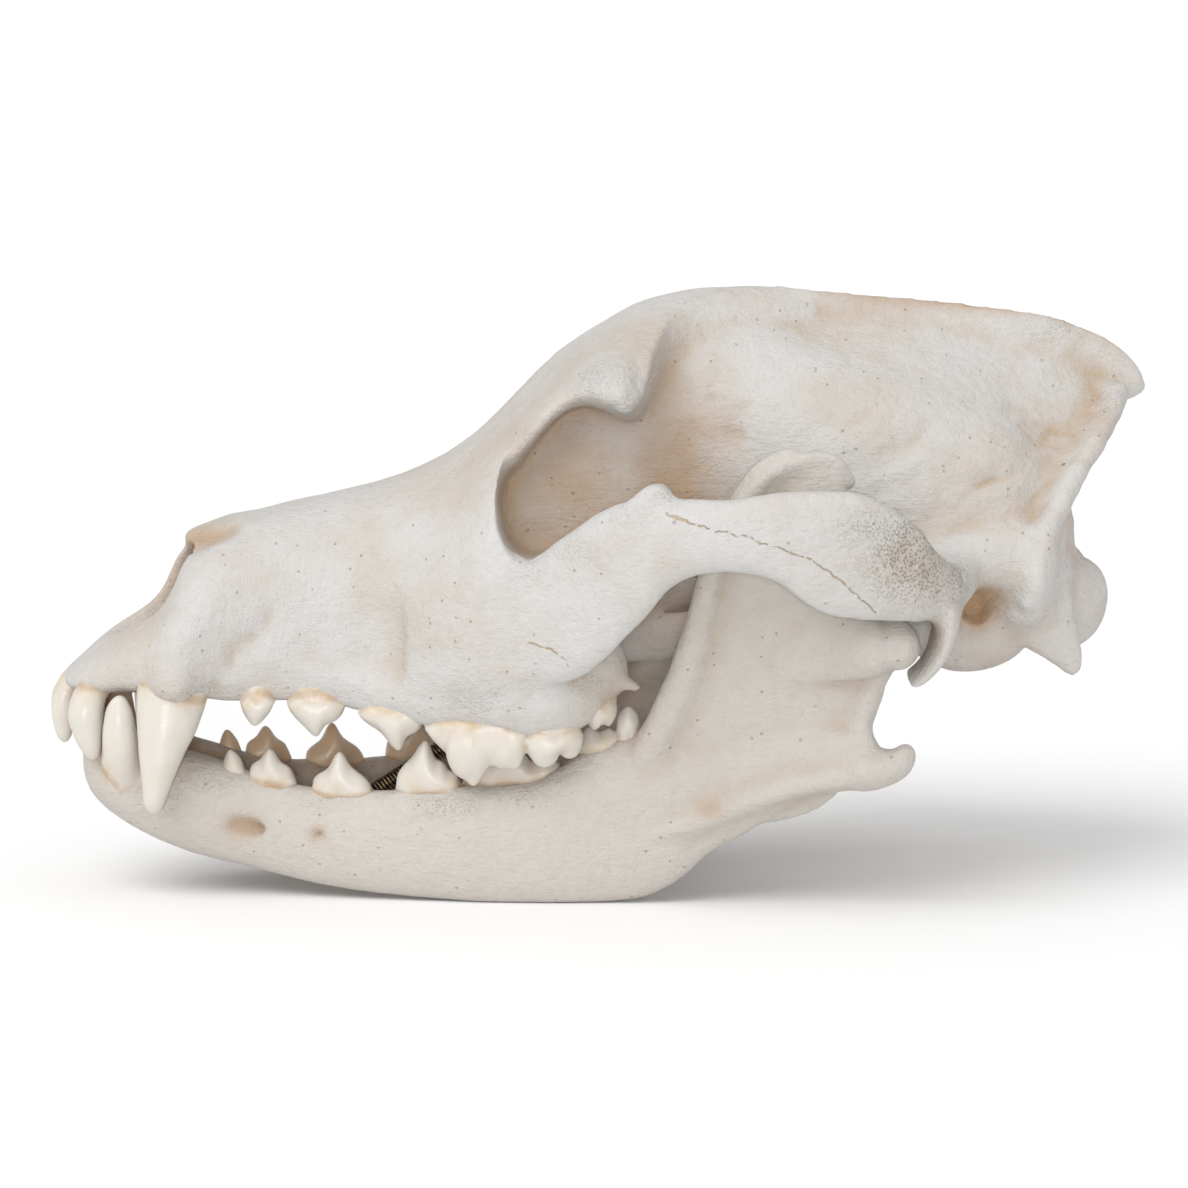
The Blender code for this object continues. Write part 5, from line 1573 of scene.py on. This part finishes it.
def seam_group():
    """Thin wavering line: the height above the table less a cubic of x, made uneven by noise,
    is near nothing, from one x to another, outside a distance from the middle."""
    tree, given, result = group(
        "bone seam",
        [("Vector", "NodeSocketVector", None), ("A", "NodeSocketFloat", 0.0),
         ("B", "NodeSocketFloat", 0.0), ("C", "NodeSocketFloat", 0.0),
         ("D", "NodeSocketFloat", 0.0), ("From", "NodeSocketFloat", 0.0),
         ("To", "NodeSocketFloat", 0.1), ("Outside", "NodeSocketFloat", 0.0),
         ("Width", "NodeSocketFloat", 0.0003), ("Waver", "NodeSocketFloat", 0.002)],
        [("Mask", "NodeSocketFloat")],
    )
    at, a, b, c, d, first, last, outside, width, swing = given.outputs[:10]
    x, y, z = add(tree, "ShaderNodeSeparateXYZ", {0: at}).outputs
    waver = maths(tree, "MULTIPLY", maths(tree, "SUBTRACT", noise(tree, at, 420.0, 2.0), 0.5), swing)
    line = maths(tree, "MULTIPLY_ADD", x, d, c)
    line = maths(tree, "MULTIPLY_ADD", line, x, b)
    line = maths(tree, "MULTIPLY_ADD", line, x, a)
    above = maths(tree, "SUBTRACT", maths(tree, "SUBTRACT", z, line), waver)
    mark = spread(tree, maths(tree, "ABSOLUTE", above), 0.0, width, 1.0, 0.0)
    for room in (
        maths(tree, "GREATER_THAN", x, first),
        maths(tree, "LESS_THAN", x, last),
        maths(tree, "GREATER_THAN", maths(tree, "ABSOLUTE", y), outside),
        spread(tree, noise(tree, at, 900.0, 1.0), 0.36, 0.52),
    ):
        mark = maths(tree, "MULTIPLY", mark, room)
    tree.links.new(mark, result.inputs[0])
    return tree


def shared(name, maker):
    """The node group of that name, made the first time that it is asked for."""
    return bpy.data.node_groups.get(name) or maker()


def use(tree, name, maker, inputs):
    """Outputs of a node group that is set in this tree."""
    return add(tree, "ShaderNodeGroup", inputs, node_tree=shared(name, maker)).outputs


def pores(tree, at, scale, size, share):
    """Mask of round pores, at so many cells a metre, in a share of the cells."""
    inputs = {"Vector": at, "Scale": scale, "Size": size, "Share": share}
    return use(tree, "bone pores", pores_group, inputs)[0]


def new_material(name):
    """A material with its node tree and its surface shader."""
    made = bpy.data.materials.new(name)
    made.use_nodes = True
    tree = made.node_tree
    shader = tree.nodes["Principled BSDF"]
    return made, tree, shader


def attribute(tree, name):
    """The value that give stored under this name."""
    return add(tree, "ShaderNodeAttribute", attribute_name=name).outputs["Fac"]


# Seam lines in millimetres: points x, height, then the least distance from the middle
SEAMS = [
    ([(10, 87), (21, 84), (33, 80), (45, 74), (53, 66)], 48.0, 0.34, 2.6),
    ([(-17, 58.3), (-14, 57.7), (-11, 56.4), (-9, 54.0)], 30.0, 0.35, 1.6),
]

# Small nerve and vessel holes: x, y, height, radius
HOLES = [(-49.6, -20.8, 55.0, 0.75), (58.0, -31.0, 88.0, 0.5), (70.0, -30.0, 92.0, 0.4),
         (92.0, -27.0, 84.0, 0.6), (97.0, -22.0, 92.0, 0.5), (-62.0, -20.6, 66.0, 0.4),
         (-30.0, -36.0, 52.0, 0.45), (20.0, -53.0, 82.0, 0.35)]


def bone_material(name, seams, holes, seed, warmth):
    """Bleached bone: warm and pale patches, tan in hollows that is partly real and partly painted
    shade, stain and painted shade in openings, pores where the bone is rough, small holes and seams,
    with the pores and holes darkened by painted shade."""
    look = finishes()
    made, tree, shader = new_material(name)
    at = add(tree, "ShaderNodeTexCoord").outputs["Object"]
    shift = {"Vector": at, "Location": (seed, seed * 0.7, 0)}
    moved = add(tree, "ShaderNodeMapping", shift).outputs[0]
    patches = noise(tree, moved, 42.0, 4.0, 0.55)
    rough = attribute(tree, "rough")
    grain, tone = use(tree, "bone grain", grain_group, {"Vector": moved})

    warm = spread(tree, patches, 0.40, 0.68, warmth, 0.65)
    colour = blend(tree, warm, look.bone, look.bone_warm)
    dim = spread(tree, patches, 0.3, 0.7, 0.55, 0.95)
    # Tan in creases and recesses, partly real and partly painted shade
    colour = blend(tree, maths(tree, "MULTIPLY", attribute(tree, "hollow"), dim), colour, look.hollow)
    tan = spread(tree, patches, 0.3, 0.65, 0.55, 1.0)
    tan = maths(tree, "MULTIPLY", attribute(tree, "stain_and_shade"), tan, clamp=True)
    colour = blend(tree, tan, colour, look.stain_and_shade)
    sponge = maths(tree, "MULTIPLY", pores(tree, moved, 1900.0, 0.50, 0.80),
                   spread(tree, rough, 0.12, 0.6))
    marks = maths(tree, "MAXIMUM", pores(tree, moved, 380.0, 0.12, 0.42),
                  pores(tree, moved, 120.0, 0.055, 0.25))
    pits = maths(tree, "MAXIMUM",
                 maths(tree, "MULTIPLY", sponge, spread(tree, rough, 0.3, 1.0, 0.08, 0.50)),
                 maths(tree, "MULTIPLY", marks, 0.24))
    colour = blend(tree, spread(tree, rough, 0.75, 1.0, 0.0, 0.45), colour, look.grime)
    # Pits darkened with painted shade
    colour = blend(tree, pits, colour, look.pore_shade)

    # Both sides alike: the point and its mirror image, and the one with the lower y is used
    left = vectors(tree, "MINIMUM", at, vectors(tree, "MULTIPLY", at, (1, -1, 1)))
    # Each small hole is painted dark as the shade inside it
    for x, y, z, radius in holes:
        centre = tuple((np.array([x, y, z]) - ORIGIN) * MM)
        mask = use(tree, "small hole", hole_group,
                   {"Vector": left, "Centre": centre, "Radius": radius * MM})[0]
        marks = maths(tree, "MAXIMUM", marks, mask)
        colour = blend(tree, mask, colour, look.pore_shade)
    for line, outside, width, waver in seams:
        shape = (np.array(line, float) - ORIGIN[[0, 2]]) * MM
        d, c, b, a = np.polyfit(shape[:, 0], shape[:, 1], 3)
        mask = use(tree, "bone seam", seam_group, {
            "Vector": at, "A": a, "B": b, "C": c, "D": d, "From": float(shape[:, 0].min()),
            "To": float(shape[:, 0].max()), "Outside": outside * MM, "Width": width * MM,
            "Waver": waver * MM})[0]
        marks = maths(tree, "MAXIMUM", marks, mask)
        colour = blend(tree, maths(tree, "MULTIPLY", mask, 0.8), colour, look.seam)
    uneven = maths(tree, "MULTIPLY", spread(tree, tone, 0.35, 0.68), 0.10)
    colour = blend(tree, uneven, colour, look.hollow)
    tree.links.new(colour, shader.inputs["Base Color"])

    dull = spread(tree, patches, 0.3, 0.7, look.roughness - 0.08, look.roughness + 0.10)
    tree.links.new(dull, shader.inputs["Roughness"])
    height = maths(tree, "MULTIPLY", grain, spread(tree, rough, 0.1, 0.8, 0.9, 1.5))
    sunken = maths(tree, "MULTIPLY", sponge, spread(tree, rough, 0.5, 1.0, 0.4, 1.0))
    height = maths(tree, "MULTIPLY_ADD", sunken, -0.5, height)
    height = maths(tree, "MULTIPLY_ADD", marks, -0.5, height)
    bump = add(tree, "ShaderNodeBump", {"Height": height, "Strength": 1.0, "Distance": 0.0006})
    tree.links.new(bump.outputs[0], shader.inputs["Normal"])
    shader.inputs["Specular IOR Level"].default_value = 0.42
    return made


def enamel_material():
    """Ivory teeth, warm at the neck and on the inner side, and warm in the grooves partly as painted
    shade, with a soft gloss.
    """
    look = finishes()
    made, tree, shader = new_material("tooth_enamel")
    at = add(tree, "ShaderNodeTexCoord").outputs["Object"]
    patches = noise(tree, at, 210.0, 3.0)
    neck = attribute(tree, "neck")
    worn = maths(tree, "MULTIPLY", neck, spread(tree, patches, 0.35, 0.65, 0.10, 0.65))
    # Warm tint in the grooves, partly painted shade
    share = maths(tree, "MULTIPLY_ADD", attribute(tree, "hollow"), 0.55, worn, clamp=True)
    share = maths(tree, "MULTIPLY_ADD", spread(tree, patches, 0.5, 0.8), 0.15, share, clamp=True)
    colour = blend(tree, share, look.enamel, look.enamel_warm)
    inner = spread(tree, patches, 0.3, 0.7, 0.75, 1.0)
    inner = maths(tree, "MULTIPLY", attribute(tree, "inner"), inner)
    colour = blend(tree, inner, colour, look.enamel_inner)
    rim = spread(tree, patches, 0.3, 0.6, 0.1, 0.5)
    rim = maths(tree, "MULTIPLY", spread(tree, neck, 0.80, 1.0), rim)
    colour = blend(tree, rim, colour, look.gum_line)
    tree.links.new(colour, shader.inputs["Base Color"])
    fine = noise(tree, at, 1500.0, 3.0)
    tree.links.new(spread(tree, fine, 0.3, 0.7, 0.32, 0.46), shader.inputs["Roughness"])
    bump = add(tree, "ShaderNodeBump", {"Height": fine, "Strength": 0.25, "Distance": 0.0002})
    tree.links.new(bump.outputs[0], shader.inputs["Normal"])
    shader.inputs["Coat Weight"].default_value = 0.08
    shader.inputs["Coat Roughness"].default_value = 0.25
    return made


def steel_material():
    """Dark spring wire with a golden brown tinge in uneven patches."""
    look = finishes()
    made, tree, shader = new_material("spring_steel")
    at = add(tree, "ShaderNodeTexCoord").outputs["Object"]
    worn = noise(tree, at, 900.0, 3.0)
    colour = blend(tree, spread(tree, worn, 0.4, 0.7), look.steel, look.steel_worn)
    tree.links.new(colour, shader.inputs["Base Color"])
    tree.links.new(spread(tree, worn, 0.3, 0.7, 0.28, 0.5), shader.inputs["Roughness"])
    shader.inputs["Metallic"].default_value = 1.0
    return made


def floor_material(colour):
    """Plain pale floor with a very faint unevenness."""
    made, tree, shader = new_material("pale_floor")
    at = add(tree, "ShaderNodeTexCoord").outputs["Object"]
    shade = tuple(c * 0.985 for c in colour[:3]) + (1.0,)
    uneven = blend(tree, noise(tree, at, 3.0, 2.0), colour, shade)
    tree.links.new(uneven, shader.inputs["Base Color"])
    shader.inputs["Roughness"].default_value = 0.9
    shader.inputs["Specular IOR Level"].default_value = 0.1
    return made


# Operators

class SKULL_OT_cranium(bpy.types.Operator):
    """Cranium: upper jaw, cheek arches and braincase as one bone"""
    bl_idname = "skull.cranium"
    bl_label = "Cranium"

    def execute(self, context):
        made = build_cranium()
        dress(made, bone_material("cranium_bone", SEAMS, HOLES, 0.0, 0.05),
              [node for node in frame["nodes"] if not node.startswith(("mandible", "jaw"))])
        return {"FINISHED"}


class SKULL_OT_jaws(bpy.types.Operator):
    """Both halves of the lower jaw"""
    bl_idname = "skull.jaws"
    bl_label = "Lower jaws"

    def execute(self, context):
        made = bone_material("jaw_bone", [], [], 0.31, 0.55)
        for side, node in zip(SIDES, ("mandible_left", "mandible_right")):
            dress(build_jaw(side), made, [node])
        return {"FINISHED"}


class SKULL_OT_teeth(bpy.types.Operator):
    """Upper and lower teeth of both sides"""
    bl_idname = "skull.teeth"
    bl_label = "Teeth"

    def execute(self, context):
        made = enamel_material()
        upper = [crown(*row) for row in UPPER_CHEEK] + molar_lobes() + upper_front()
        lower = [crown(*row) for row in LOWER_CHEEK] + lower_front()
        for side, hand in zip(SIDES, ("left", "right")):
            dress(build_teeth("upper_teeth_" + hand, side, upper, UPPER_GUM, 21), made)
            dress(build_teeth("lower_teeth_" + hand, side, lower, LOWER_GUM, 31), made)
        return {"FINISHED"}


class SKULL_OT_spring(bpy.types.Operator):
    """Dark coil spring that holds the jaws together"""
    bl_idname = "skull.spring"
    bl_label = "Jaw spring"

    def execute(self, context):
        made = mesh_object("jaw_spring_coil", spring_coil())
        dress(made, steel_material(), ["jaw_spring"])
        return {"FINISHED"}


def sun_lamp(scene, name, strength, breadth, beam):
    """Sun lamp of a strength and a breadth that shines along the beam."""
    lamp = bpy.data.objects.new(name, bpy.data.lights.new(name, "SUN"))
    lamp.data.energy = strength
    lamp.data.angle = breadth
    lamp.rotation_mode = "QUATERNION"
    lamp.rotation_quaternion = beam.to_track_quat("-Z", "Y")
    scene.collection.objects.link(lamp)


class SKULL_OT_studio(bpy.types.Operator):
    """Pale floor, soft studio light and the camera"""
    bl_idname = "skull.studio"
    bl_label = "Studio"

    def execute(self, context):
        scene = context.scene
        look = scene.skull_studio
        reach, drop = 14.0, 0.0002
        x, y = np.meshgrid([-reach, reach], [-reach, reach])
        corners = np.stack([x, y, np.full_like(x, -drop)], -1).reshape(-1, 3)
        mesh = bpy.data.meshes.new("floor")
        mesh.from_pydata(corners.tolist(), [], [(0, 1, 3, 2)])
        floor = bpy.data.objects.new("floor", mesh)
        scene.collection.objects.link(floor)
        mesh.materials.append(floor_material(look.floor))
        world = bpy.data.worlds.new("studio")
        world.use_nodes = True
        backdrop = world.node_tree.nodes["Background"]
        backdrop.inputs["Color"].default_value = (1.0, 1.0, 1.0, 1.0)
        backdrop.inputs["Strength"].default_value = look.sky
        scene.world = world
        scene.view_settings.view_transform = "Standard"
        a, e = look.azimuth, look.elevation
        back = Vector((math.sin(a) * math.cos(e), -math.cos(a) * math.cos(e), math.sin(e)))
        sun_lamp(scene, "key_light", look.sun, look.sun_spread, Vector((0.62, 0.55, -1.0)))
        sun_lamp(scene, "fill_light", look.fill, look.fill_spread, -back)
        camera = bpy.data.objects.new("camera", bpy.data.cameras.new("camera"))
        camera.data.sensor_width = 36.0
        camera.data.lens = look.lens
        camera.data.clip_end = 60.0
        camera.location = Vector((-ORIGIN[0] * MM, 0, look.aim)) + back * look.distance
        camera.rotation_mode = "QUATERNION"
        camera.rotation_quaternion = (-back).to_track_quat("-Z", "Y")
        scene.collection.objects.link(camera)
        scene.camera = camera
        return {"FINISHED"}


class SKULL_PT_panel(bpy.types.Panel):
    """Lists the sizes, the finishes and the steps"""
    bl_idname = "SKULL_PT_panel"
    bl_label = "Dog skull"
    bl_space_type = "VIEW_3D"
    bl_region_type = "UI"
    bl_category = "Skull"

    def draw(self, context):
        scene = context.scene
        for settings in (scene.skull_sizes, scene.skull_finish, scene.skull_studio):
            box = self.layout.box()
            for name in settings.__annotations__:
                box.prop(settings, name)
        for operator in STEPS:
            self.layout.operator(operator.bl_idname)


SETTINGS = {"skull_sizes": SkullSizes, "skull_finish": SkullFinish, "skull_studio": SkullStudio}
STEPS = (SKULL_OT_cranium, SKULL_OT_jaws, SKULL_OT_teeth, SKULL_OT_spring, SKULL_OT_studio)


def register():
    """Registers the classes and hangs the settings on the scene."""
    for one in (*SETTINGS.values(), *STEPS, SKULL_PT_panel):
        bpy.utils.register_class(one)
    for name, settings in SETTINGS.items():
        setattr(bpy.types.Scene, name, bpy.props.PointerProperty(type=settings))


def unregister():
    """Takes back what register did."""
    for name in SETTINGS:
        delattr(bpy.types.Scene, name)
    for one in reversed((*SETTINGS.values(), *STEPS, SKULL_PT_panel)):
        bpy.utils.unregister_class(one)


def main():
    """Builds the skull and its studio."""
    register()
    bpy.ops.skull.cranium()
    bpy.ops.skull.jaws()
    bpy.ops.skull.teeth()
    bpy.ops.skull.spring()
    bpy.ops.skull.studio()


if __name__ == "__main__":
    main()
